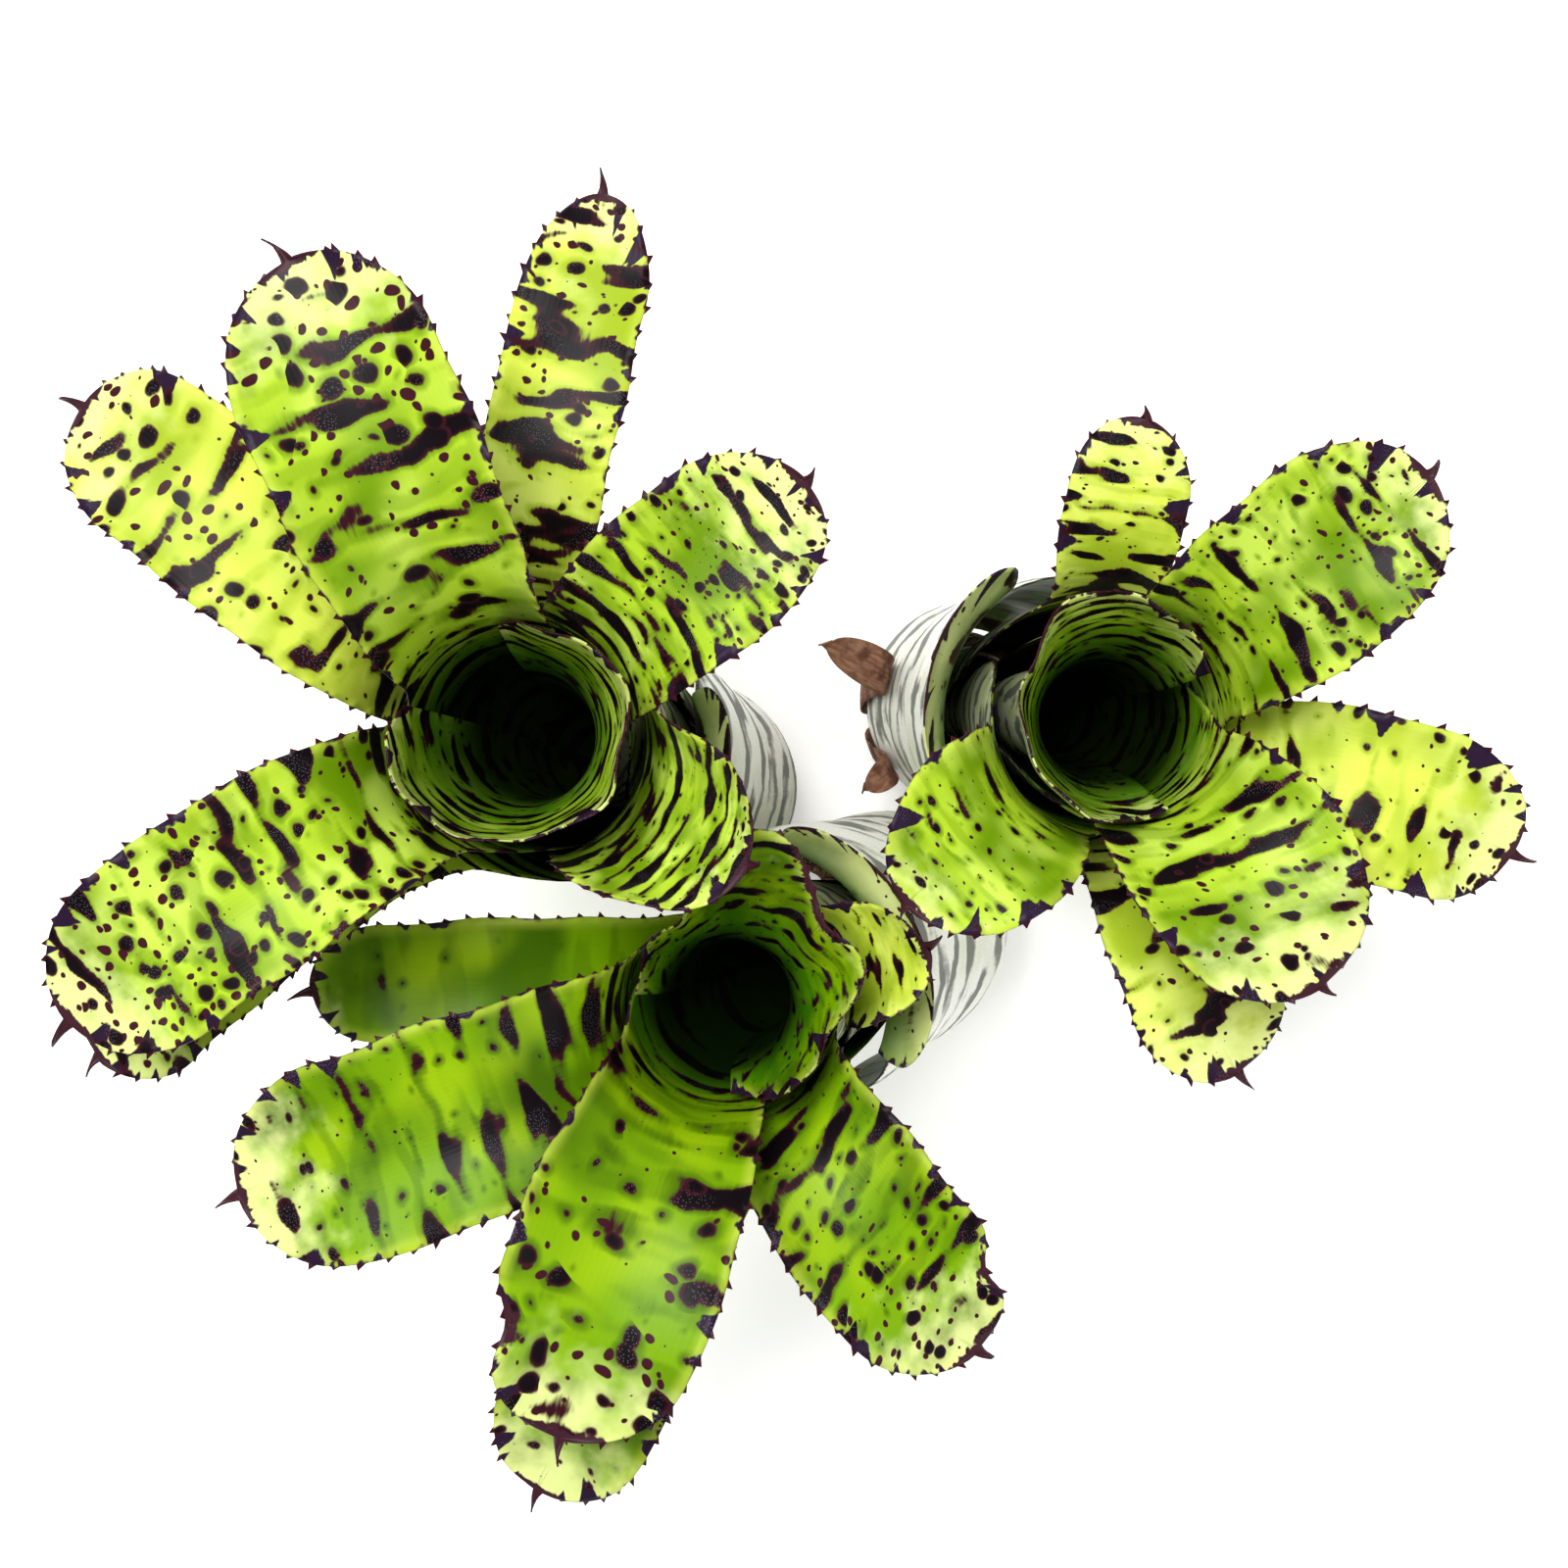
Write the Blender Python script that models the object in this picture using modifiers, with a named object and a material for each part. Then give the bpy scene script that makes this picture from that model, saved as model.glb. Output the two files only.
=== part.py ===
"""Neoregelia clump: three tubular rosettes of banded strap leaves joined by one rhizome.

Real size, metres, +Z up. The clump stands on the flat feet of its three stems at z = 0,
with the front rosette's foot at the origin.
Each leaf is one sheet: a sheath that wraps its tube, then a channelled blade with toothed
margins and a pointed tip. It is drawn flat as a grid of (distance along, share of half width),
gets its teeth there, is bent into place by LeafShape and is thickened with Solidify.
"""
import math
from dataclasses import dataclass

import bmesh
import bpy
from mathutils import Vector

MM = 0.001

# Driving dimensions, in millimetres and degrees
BLADE_THICKNESS = 0.8
LAYER_SPACING = 1.6
TUBE_HEIGHTS = (32.0, 44.0, 56.0, 68.0, 80.0, 92.0, 104.0)
TUBE_RADII = (3.2, 7.6, 10.8, 12.6, 14.2, 15.7, 17.0)
UPRIGHT_SHARE = 0.8
OUTER_LAYER = 8
LOWEST_SHEATH = 7.0
SHEATH_STEP = 3.0
BULB_TOP = 64.0
BULB_LOWNESS = 0.6
BULB_ROWS = (12.0, 20.0)
NARROWING = 30.0
NECK_SHARE = 0.84
OPENING_SHARE = 0.55
WIDEST_SHARE = 0.5
UPRIGHT_LENGTH = 14.0
RISE_SHARE = 0.42
RUN_SHARE = 0.38
BLADE_CURVATURE = 1.0 / 34.0
TIP_ROUNDING = 0.62
TIP_SHARE = 0.6
TIP_ANGLES = (36.0, 64.0, 90.0)
TIP_HALF_WIDTH = 1.4
SPINE_LENGTH = 4.5
TOOTH_LENGTH = 1.2
TOOTH_BASE = 1.5
TOOTH_HOOK = 0.6
CUP_HEIGHT = 80.0
CUP_SPAN = 20.0
CUP_NARROWING = 3.5
CUP_FOOT = 34.0
CUP_REACH = 70.0
RIM_SHARES = (0.5, 0.8, 1.0)
LIP_PLACE = 26.0
LIP_SPREAD = 42.0
NOTCH_SPREAD = 20.0
STEM_CLEARANCE = 0.5
STEM_CLEARANCE_SHARE = 0.03
STEM_FOOT_RADIUS = 11.5
STEM_FOOT_FLARE = 2.5
STEM_FOOT_ROUND = 1.8
STEM_TIP_SHARE = 0.6
STEM_TIP_HEIGHT = 1.4
STEM_ROWS = (15.0, 23.0)
STEM_SEGMENTS = 20
STOLON_RADIUS = 2.6
STOLON_SWELL = 0.08
STOLON_HEIGHT = 3.4
STOLON_DIP = 0.6
STOLON_GAP = 0.15
STOLON_SPANS = 3
WELD = 0.0001 * MM

LIME = (0.33, 0.56, 0.03)
YELLOW = (0.60, 0.68, 0.06)
GREEN = (0.13, 0.33, 0.02)
PALE = (0.45, 0.52, 0.30)
WOOD = (0.16, 0.09, 0.045)
PAPER = (0.32, 0.17, 0.08)


def smooth(value):
    """Ease from 0 to 1."""
    share = min(max(value, 0.0), 1.0)
    return share * share * (3.0 - 2.0 * share)


def mix(first, second, share):
    return first + (second - first) * share


@dataclass(frozen=True)
class Rosette:
    """One tube: where its stem stands, the middle of its mouth, the swell of its outer sheath."""
    foot: Vector
    mouth: Vector
    swell: float

    def axis(self, height):
        """Middle of the tube at a height: upright at the foot, leaning, upright at the mouth."""
        share = smooth(height / (self.mouth.z * UPRIGHT_SHARE))
        flat = self.foot.lerp(self.mouth, share)
        return Vector((flat.x, flat.y, height))


@dataclass(frozen=True)
class Leaf:
    """One leaf. Bearings are seen from above, anticlockwise from +X."""
    name: str
    layer: int
    bearing: float
    leave: float
    reach: float
    tip_bearing: float
    tip_height: float
    heading: float
    slope: float
    width: float
    wrap: float = 80.0
    columns: int = 6
    rows: int = 6
    fold: float = 1.0
    spine: float = SPINE_LENGTH
    rounding: float = TIP_ROUNDING
    toothed: bool = True
    colour: tuple = LIME


@dataclass(frozen=True)
class Heart:
    """Innermost leaf, still rolled: a cup with a flared, notched rim round the mouth."""
    name: str
    bearing: float
    rim: float
    left_lip: float
    right_lip: float
    level: float
    notch_at: float
    wrap: float = 145.0
    drop: float = 14.0
    notch: float = 3.5
    columns: int = 14
    colour: tuple = LIME


ROSETTES = {
    "left": Rosette(Vector((-41.0, 25.5, 0.0)), Vector((-68.5, 35.1, 114.0)), 5.0),
    "front": Rosette(Vector((0.0, 0.0, 0.0)), Vector((-34.5, -9.4, 102.0)), 7.0),
    "right": Rosette(Vector((10.0, 43.0, 0.0)), Vector((28.8, 37.5, 108.0)), 4.5),
}

HEARTS = {
    "left": Heart("left_leaf_heart", 310, 114, 4.0, 3.0, level=122, notch_at=45),
    "front": Heart("front_leaf_heart", 43, 99, 14.0, 7.0, level=85, notch_at=7, wrap=130,
                   colour=GREEN),
    "right": Heart("right_leaf_heart", 162, 110, 1.0, 3.5, level=70, notch_at=-20, wrap=135),
}

LEAVES = {
    "left": (
        Leaf("left_leaf_1", 1, 113, 98, 74, 113, 124, 116, 0, 33, wrap=105, columns=8),
        Leaf("left_leaf_2", 2, 40, 95, 60, 38.5, 113, 42, -10, 28, spine=2.5),
        Leaf("left_leaf_3", 3, 212, 93, 78, 214.4, 113, 222, -5, 30),
        Leaf("left_leaf_4", 4, 332, 84, 43, 332, 110, 335, 45, 39, rows=4,
             fold=2.3, spine=2.5),
        Leaf("left_leaf_5", 5, 145, 84, 84, 142.5, 100, 147, -15, 27, colour=YELLOW),
        Leaf("left_leaf_6", 6, 80, 80, 88, 80.6, 92, 84, -10, 21, rounding=1.0,
             colour=YELLOW),
        Leaf("left_leaf_7", 7, 218, 74, 86, 217.5, 88, 224, -20, 24),
        Leaf("left_sheath", 8, 345, 72, 35, 344, 83, 345, 80, 34, columns=8, rows=2,
             spine=1.5, toothed=False, colour=PALE),
    ),
    "front": (
        Leaf("front_leaf_1", 1, 243, 91, 66.9, 248.6, 113, 254, -10, 34.5,
             wrap=105, columns=8, colour=GREEN),
        Leaf("front_leaf_2", 2, 200, 86, 80, 200, 103.5, 198, -10, 33, colour=GREEN),
        Leaf("front_leaf_3", 3, 305, 82, 67, 307, 96, 314, -15, 29, spine=3.0,
             colour=GREEN),
        Leaf("front_leaf_4", 4, 20, 74, 34, 17.7, 92, 20, 50, 24, rows=4,
             fold=2.6, colour=YELLOW),
        Leaf("front_leaf_5", 5, 168, 58, 70.6, 179, 74, 188, -5, 20, colour=GREEN),
        Leaf("front_leaf_6", 6, 262, 62, 86.5, 248.8, 82, 240, -20, 27, colour=GREEN),
        Leaf("front_sheath", 8, 24, 66, 34, 24, 77, 28, 78, 50, wrap=112, columns=10,
             rows=2, spine=1.5, toothed=False, colour=PALE),
    ),
    "right": (
        Leaf("right_leaf_1", 1, 305, 92, 49.5, 304, 112, 304, -5, 35, wrap=105, columns=8,
             spine=2.5),
        Leaf("right_leaf_2", 2, 40, 90, 56.4, 39.7, 114, 38, 0, 31, spine=2.5),
        Leaf("right_leaf_3", 3, 220, 88, 45.5, 220, 104, 222, -15, 31, spine=2.0),
        Leaf("right_leaf_4", 4, 338, 80, 65.7, 340.8, 96, 330, -15, 27, colour=YELLOW),
        Leaf("right_leaf_5", 5, 92, 76, 48, 85, 94, 72, 10, 20, spine=2.0, colour=YELLOW),
        Leaf("right_leaf_6", 6, 285, 74, 61.7, 290, 84, 300, -15, 26, colour=YELLOW),
        Leaf("right_sheath", 8, 160, 74, 31, 160, 86, 160, 82, 40, wrap=100, columns=8,
             rows=2, spine=1.5, toothed=False, colour=PALE),
        Leaf("right_bract_1", 9, 165, 32, 48, 162, 48, 156, 35, 8, wrap=22,
             columns=4, rows=2, spine=2.0, rounding=1.4, toothed=False, colour=PAPER),
        Leaf("right_bract_2", 9, 209, 27, 40, 196, 36, 200, 40, 6, wrap=19,
             columns=4, rows=2, spine=1.5, rounding=1.4, toothed=False, colour=PAPER),
    ),
}

STOLONS = (("stolon_left_front", "left", "front"), ("stolon_front_right", "front", "right"))


def tube_radius(layer, height):
    """Radius of a layer of sheaths round the tube's axis."""
    inner = TUBE_RADII[-1]
    if height <= TUBE_HEIGHTS[0]:
        inner = TUBE_RADII[0]
    else:
        for step in range(len(TUBE_HEIGHTS) - 1):
            low, high = TUBE_HEIGHTS[step], TUBE_HEIGHTS[step + 1]
            if low < height <= high:
                share = (height - low) / (high - low)
                inner = mix(TUBE_RADII[step], TUBE_RADII[step + 1], share)
    return inner + layer * LAYER_SPACING


def bulb(height):
    """How much of its swell an outer sheath has at a height."""
    share = (height - LOWEST_SHEATH) / (BULB_TOP - LOWEST_SHEATH)
    if not 0.0 < share < 1.0:
        return 0.0
    return math.sin(math.pi * share ** BULB_LOWNESS)


def sheath_base(layer):
    """Height at which a layer's sheath starts on the stem."""
    return LOWEST_SHEATH + (OUTER_LAYER - layer) * SHEATH_STEP


def outward(bearing):
    angle = math.radians(bearing)
    return Vector((math.cos(angle), math.sin(angle), 0.0))


class LeafShape:
    """Places points of one leaf: s is the distance from where the blade leaves the tube."""

    def __init__(self, rosette, leaf):
        self.rosette = rosette
        self.leaf = leaf
        self.base = sheath_base(leaf.layer) - leaf.leave
        self.set_route()
        self.measure()

    def set_route(self):
        """Four control points of the blade's middle line."""
        leaf = self.leaf
        start = self.sheath_point(leaf.leave)
        up = (start - self.sheath_point(leaf.leave - 4.0)).normalized()
        end = self.rosette.mouth + outward(leaf.tip_bearing) * leaf.reach
        end.z = leaf.tip_height
        slope = math.radians(leaf.slope)
        way = outward(leaf.heading) * math.cos(slope) + Vector((0.0, 0.0, math.sin(slope)))
        span = (end - start).length
        self.route = (start, start + up * span * RISE_SHARE, end - way * span * RUN_SHARE, end)

    def measure(self):
        """Distances along the blade's middle line, to walk it evenly."""
        count = 60
        self.marks = [0.0]
        last = self.route[0]
        for step in range(1, count + 1):
            point = self.curve(step / count)
            self.marks.append(self.marks[-1] + (point - last).length)
            last = point
        self.length = self.marks[-1]

    def curve(self, t):
        a, b, c, d = self.route
        r = 1.0 - t
        return a * r ** 3 + b * 3.0 * r * r * t + c * 3.0 * r * t * t + d * t ** 3

    def tangent(self, t):
        a, b, c, d = self.route
        r = 1.0 - t
        return ((b - a) * r * r + (c - b) * 2.0 * r * t + (d - c) * t * t).normalized()

    def share_at(self, s):
        """Curve parameter at a distance along the blade."""
        count = len(self.marks) - 1
        for step in range(count):
            low, high = self.marks[step], self.marks[step + 1]
            if s <= high:
                return (step + max(s - low, 0.0) / (high - low)) / count
        return 1.0

    def radius(self, height):
        swell = self.rosette.swell if self.leaf.layer >= OUTER_LAYER else 0.0
        return tube_radius(self.leaf.layer, height) + swell * bulb(height)

    def sheath_point(self, height):
        return self.rosette.axis(height) + outward(self.leaf.bearing) * self.radius(height)

    def half_width(self, s):
        """Half width of the flattened leaf."""
        leaf = self.leaf
        neck = leaf.width * 0.5 * NECK_SHARE
        if s <= 0.0:
            full = math.radians(leaf.wrap) * self.radius(leaf.leave + s)
            return mix(full, neck, smooth((s + NARROWING) / NARROWING))
        if s > self.length:
            return TIP_HALF_WIDTH * max(1.0 - (s - self.length) / leaf.spine, 0.0)
        body = mix(neck, leaf.width * 0.5, smooth(s / (WIDEST_SHARE * self.length)))
        into_tip = (s - self.length + self.tip_zone()) / self.tip_zone()
        if into_tip > 0.0:
            body *= math.sqrt(max(1.0 - into_tip ** 2, 0.0))
        return max(body, TIP_HALF_WIDTH)

    def tip_zone(self):
        return min(self.leaf.width * self.leaf.rounding, self.length * TIP_SHARE)

    def curvature(self, s):
        """Curvature across the leaf: the tube's in the sheath, a shallow channel beyond."""
        tube = 1.0 / self.radius(self.leaf.leave + min(s, 0.0))
        opening = smooth(s / (OPENING_SHARE * self.length))
        return mix(tube, BLADE_CURVATURE * self.leaf.fold, opening)

    def frame(self, s):
        """Middle point, sideways direction and upper-face direction."""
        leaf = self.leaf
        side = outward(leaf.bearing + 90.0)
        inward = -outward(leaf.bearing)
        if s <= 0.0:
            return self.sheath_point(leaf.leave + s), side, inward
        t = self.share_at(s)
        turn = (leaf.heading - leaf.bearing + 180.0) % 360.0 - 180.0
        side = outward(leaf.bearing + turn * smooth(t) + 90.0)
        along = self.tangent(t)
        side = (side - along * side.dot(along)).normalized()
        face = along.cross(side)
        face = inward.lerp(face, smooth(s / UPRIGHT_LENGTH)).normalized()
        middle = self.curve(t)
        if s > self.length:
            middle = middle + along * (s - self.length)
        return middle, side, face

    def place(self, s, v):
        """Point of the leaf at distance s and share v of the half width."""
        middle, side, face = self.frame(s)
        bend = self.curvature(s)
        across = v * self.half_width(s)
        lift = (1.0 - math.cos(bend * across)) / bend
        return (middle + side * math.sin(bend * across) / bend + face * lift) * MM

    def rows(self):
        """Distances of the leaf's cross rows, closer together round the tip."""
        leaf = self.leaf
        start = sheath_base(leaf.layer)
        knots = BULB_ROWS + TUBE_HEIGHTS if leaf.layer >= OUTER_LAYER else TUBE_HEIGHTS
        heights = [height for height in knots if start + 1.0 < height < leaf.leave - 5.0]
        rows = [self.base] + [height - leaf.leave for height in heights] + [0.0]
        body = self.length - self.tip_zone()
        rows += [body * (step + 1) / leaf.rows for step in range(leaf.rows)]
        for angle in TIP_ANGLES:
            rows.append(body + self.tip_zone() * math.sin(math.radians(angle)))
        return rows + [self.length + leaf.spine]


class HeartShape:
    """Places points of a heart leaf: s is a height, drawn out to the rim above CUP_HEIGHT."""

    def __init__(self, rosette, heart):
        self.rosette = rosette
        self.heart = heart

    def rim(self, turn):
        """Rim height at an angle from the leaf's middle: level, low at the back, notched."""
        heart = self.heart
        back = heart.drop * smooth((abs(turn) - heart.level) / (heart.wrap - heart.level))
        notch = heart.notch * smooth(1.0 - abs(turn - heart.notch_at) / NOTCH_SPREAD)
        return heart.rim - back - notch

    def lip(self, turn):
        """How far the rim flares out on both sides of its notch."""
        turn -= self.heart.notch_at
        left = self.heart.left_lip * smooth(1.0 - abs(turn - LIP_PLACE) / LIP_SPREAD)
        right = self.heart.right_lip * smooth(1.0 - abs(turn + LIP_PLACE) / LIP_SPREAD)
        return left + right

    def half_width(self):
        return math.radians(self.heart.wrap) * tube_radius(0, CUP_HEIGHT)

    def place(self, s, v):
        """Point of the cup at height s and share v of the wrap."""
        turn = v * self.heart.wrap
        share = max(s - CUP_HEIGHT, 0.0) / CUP_SPAN
        height = mix(min(s, CUP_HEIGHT), self.rim(turn), share)
        narrow = CUP_NARROWING * math.sin(math.pi * smooth((s - CUP_FOOT) / CUP_REACH))
        radius = tube_radius(0, height) - narrow + self.lip(turn) * share ** 2
        return (self.rosette.axis(height) + outward(self.heart.bearing + turn) * radius) * MM

    def rows(self):
        heights = [height for height in TUBE_HEIGHTS if height <= CUP_HEIGHT]
        rest = [CUP_HEIGHT + CUP_SPAN * share for share in RIM_SHARES]
        return [sheath_base(0)] + heights + rest


def draw_flat(mesh, rows, columns, tipped):
    """Grid whose x is the row's place along the leaf and whose y is the share of half width."""
    bmesh.ops.create_grid(mesh, x_segments=len(rows) - 1, y_segments=columns, size=1.0)
    last = len(rows) - 1
    for vert in mesh.verts:
        row = round((vert.co.x + 1.0) * 0.5 * last)
        share = vert.co.y
        if tipped and row == last:
            share = 0.0
        elif tipped and row == last - 1:
            share = float(round(share))
        vert.co = Vector((rows[row], share, 0.0))
    bmesh.ops.remove_doubles(mesh, verts=mesh.verts, dist=0.00001)


def add_tooth(mesh, edge, half_base, apex):
    """Part the edge in three and pull the middle third out to a point."""
    low, high = sorted((vert.co.copy() for vert in edge.verts), key=lambda co: (co.x, co.y))
    middle = (low + high) * 0.5
    step = (high - low).normalized() * half_base
    made = bmesh.ops.bisect_edges(mesh, edges=[edge], cuts=2)["geom_split"]
    base = [item for item in made if isinstance(item, bmesh.types.BMVert)]
    base.sort(key=lambda vert: (vert.co - low).length)
    base[0].co = middle - step
    base[1].co = middle + step
    drawn = bmesh.ops.extrude_edge_only(mesh, edges=[mesh.edges.get(base)])["geom"]
    ends = [item for item in drawn if isinstance(item, bmesh.types.BMVert)]
    bmesh.ops.pointmerge(mesh, verts=ends, merge_co=apex)


def add_margin_teeth(mesh, shape):
    """Forward-pointing teeth on both margins of a blade, one to each long enough edge."""
    end = shape.length - shape.tip_zone() * 0.05
    found = []
    for edge in mesh.edges:
        low, high = sorted(vert.co.x for vert in edge.verts)
        sides = [vert.co.y for vert in edge.verts]
        on_margin = min(abs(side) for side in sides) > 0.999 and sides[0] * sides[1] > 0.0
        if on_margin and low > -1.0 and high < end and high - low > 3.0:
            found.append((edge, 0.5 * (low + high), math.copysign(1.0, sides[0])))
    for edge, middle, side in found:
        width = shape.half_width(middle)
        slope = shape.half_width(middle + 0.5) - shape.half_width(middle - 0.5)
        stretch = math.hypot(1.0, slope)
        place = middle + (TOOTH_HOOK - slope * TOOTH_LENGTH) / stretch
        out = width + (TOOTH_LENGTH + slope * TOOTH_HOOK) / stretch
        apex = Vector((place, side * out / shape.half_width(place), 0.0))
        add_tooth(mesh, edge, 0.5 * TOOTH_BASE / stretch, apex)


def add_rim_teeth(mesh, shape):
    """Upright teeth along the free rim of a heart leaf."""
    top = shape.rows()[-1]
    found = [edge for edge in mesh.edges if min(vert.co.x for vert in edge.verts) > top - 0.001]
    for edge in found:
        middle = 0.5 * sum(vert.co.y for vert in edge.verts)
        rise = TOOTH_LENGTH * CUP_SPAN / (shape.heart.rim - CUP_HEIGHT)
        apex = Vector((top + rise, middle, 0.0))
        add_tooth(mesh, edge, 0.5 * TOOTH_BASE / shape.half_width(), apex)


def material(name, colour):
    """Principled finish of one piece."""
    finish = bpy.data.materials.new(name)
    finish.use_nodes = True
    shader = finish.node_tree.nodes["Principled BSDF"]
    shader.inputs["Base Color"].default_value = (*colour, 1.0)
    shader.inputs["Roughness"].default_value = 0.42
    shader.inputs["Metallic"].default_value = 0.0
    finish.diffuse_color = (*colour, 1.0)
    return finish


def add_object(name, mesh, colour, collection):
    """Hand a bmesh over to a named object with its own material."""
    data = bpy.data.meshes.new(name)
    mesh.to_mesh(data)
    mesh.free()
    data.materials.append(material(name + "_finish", colour))
    piece = bpy.data.objects.new(name, data)
    collection.objects.link(piece)
    return piece


def build_sheet(name, mesh, shape, colour, collection):
    """Bend a flat drawing into place and give it its thickness."""
    for vert in mesh.verts:
        vert.co = shape.place(vert.co.x, vert.co.y)
    bmesh.ops.triangulate(mesh, faces=mesh.faces)
    bmesh.ops.recalc_face_normals(mesh, faces=mesh.faces)
    piece = add_object(name, mesh, colour, collection)
    sheet = piece.modifiers.new("Thickness", "SOLIDIFY")
    sheet.thickness = BLADE_THICKNESS * MM
    sheet.offset = 0.0
    return piece


def build_leaf(rosette, leaf, collection):
    shape = LeafShape(rosette, leaf)
    mesh = bmesh.new()
    draw_flat(mesh, shape.rows(), leaf.columns, tipped=True)
    if leaf.toothed:
        add_margin_teeth(mesh, shape)
    return build_sheet(leaf.name, mesh, shape, leaf.colour, collection)


def build_heart(rosette, heart, collection):
    shape = HeartShape(rosette, heart)
    mesh = bmesh.new()
    draw_flat(mesh, shape.rows(), heart.columns, tipped=False)
    add_rim_teeth(mesh, shape)
    return build_sheet(heart.name, mesh, shape, heart.colour, collection)


def stem_radius(height):
    """The stem fills the ring of sheath bases at each height."""
    layer = OUTER_LAYER - (height - LOWEST_SHEATH) / SHEATH_STEP
    ring = tube_radius(0, 0.0) + layer * LAYER_SPACING
    return ring * (1.0 - STEM_CLEARANCE_SHARE) - STEM_CLEARANCE


def build_stem(name, rosette, collection):
    """Short woody stem, turned from a profile and leaned along its tube."""
    top = sheath_base(0)
    profile = [
        (0.0, 0.0),
        (STEM_FOOT_RADIUS, 0.0),
        (STEM_FOOT_RADIUS + STEM_FOOT_FLARE, STEM_FOOT_ROUND),
        (stem_radius(LOWEST_SHEATH), LOWEST_SHEATH),
        (stem_radius(STEM_ROWS[0]), STEM_ROWS[0]),
        (stem_radius(STEM_ROWS[1]), STEM_ROWS[1]),
        (stem_radius(top), top),
        (stem_radius(top) * STEM_TIP_SHARE, top + STEM_TIP_HEIGHT * STEM_TIP_SHARE),
        (0.0, top + STEM_TIP_HEIGHT),
    ]
    mesh = bmesh.new()
    verts = [mesh.verts.new((x * MM, 0.0, z * MM)) for x, z in profile]
    edges = [mesh.edges.new(pair) for pair in zip(verts, verts[1:])]
    bmesh.ops.spin(mesh, geom=verts + edges, cent=(0.0, 0.0, 0.0), axis=(0.0, 0.0, 1.0),
                   angle=math.tau, steps=STEM_SEGMENTS, use_merge=True)
    bmesh.ops.remove_doubles(mesh, verts=mesh.verts, dist=WELD)
    for vert in mesh.verts:
        vert.co += rosette.axis(vert.co.z / MM) * MM - Vector((0.0, 0.0, vert.co.z))
    bmesh.ops.recalc_face_normals(mesh, faces=mesh.faces)
    return add_object(name, mesh, WOOD, collection)


def foot_radius(height):
    """Radius of the bark between the foot's rounded edge and the lowest sheath."""
    share = (height - STEM_FOOT_ROUND) / (LOWEST_SHEATH - STEM_FOOT_ROUND)
    return mix(STEM_FOOT_RADIUS + STEM_FOOT_FLARE, stem_radius(LOWEST_SHEATH), share)


def stolon_end(rosette, way):
    """Middle of the stolon's end face, just off the leaning bark at every height it covers."""
    middle = rosette.axis(STOLON_HEIGHT)
    half = STOLON_RADIUS * (1.0 + STOLON_SWELL)
    reach = 0.0
    for height in (STEM_FOOT_ROUND, STOLON_HEIGHT, STOLON_HEIGHT + half):
        lean = (rosette.axis(height) - middle).dot(way)
        reach = max(reach, foot_radius(height) + lean)
    return middle + way * (reach + STOLON_GAP)


def build_stolon(name, start, end, collection):
    """Runner between two stems, butted against both just off their bark."""
    away = (end.foot - start.foot).normalized()
    near = stolon_end(start, away)
    far = stolon_end(end, -away)
    curve = bpy.data.curves.new(name, "CURVE")
    curve.dimensions = "3D"
    curve.bevel_depth = STOLON_RADIUS * MM
    curve.bevel_resolution = 2
    curve.resolution_u = 1
    curve.use_fill_caps = True
    line = curve.splines.new("POLY")
    line.points.add(STOLON_SPANS)
    for step, point in enumerate(line.points):
        share = step / STOLON_SPANS
        place = near.lerp(far, share)
        place.z -= STOLON_DIP * math.sin(math.pi * share)
        point.co = (*(place * MM), 1.0)
        point.radius = 1.0 + STOLON_SWELL * math.cos(math.tau * share)
    curve.materials.append(material(name + "_finish", WOOD))
    piece = bpy.data.objects.new(name, curve)
    collection.objects.link(piece)
    return piece


def clear_scene():
    for piece in list(bpy.data.objects):
        bpy.data.objects.remove(piece, do_unlink=True)


def main():
    clear_scene()
    clump = bpy.data.collections.new("neoregelia_bromeliad")
    bpy.context.scene.collection.children.link(clump)
    for key, rosette in ROSETTES.items():
        build_stem(key + "_stem", rosette, clump)
        build_heart(rosette, HEARTS[key], clump)
        for leaf in LEAVES[key]:
            build_leaf(rosette, leaf, clump)
    for name, start, end in STOLONS:
        build_stolon(name, ROSETTES[start], ROSETTES[end], clump)


main()
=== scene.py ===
import math
from dataclasses import dataclass

import bmesh
import bpy
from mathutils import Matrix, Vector, noise


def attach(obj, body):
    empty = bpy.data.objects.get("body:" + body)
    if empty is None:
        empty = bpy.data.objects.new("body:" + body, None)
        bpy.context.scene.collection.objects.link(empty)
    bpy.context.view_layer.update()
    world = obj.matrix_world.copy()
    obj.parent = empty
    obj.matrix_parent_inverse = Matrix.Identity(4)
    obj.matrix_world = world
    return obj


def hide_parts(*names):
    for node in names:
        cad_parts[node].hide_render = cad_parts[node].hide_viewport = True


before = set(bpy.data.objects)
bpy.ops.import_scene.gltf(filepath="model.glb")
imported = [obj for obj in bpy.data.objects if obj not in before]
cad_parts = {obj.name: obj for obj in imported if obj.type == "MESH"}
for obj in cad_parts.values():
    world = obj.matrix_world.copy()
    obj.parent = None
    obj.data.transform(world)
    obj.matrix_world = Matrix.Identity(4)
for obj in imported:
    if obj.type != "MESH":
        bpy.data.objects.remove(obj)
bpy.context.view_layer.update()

bl_info = {
    "name": "Banded neoregelia clump",
    "version": (1, 0, 0),
    "blender": (4, 5, 0),
    "location": "3D View > Sidebar > Neoregelia",
    "description": "Three tubular rosettes of banded, toothed leaves on one short rhizome",
    "category": "Add Mesh",
}

MM = 0.001

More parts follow.
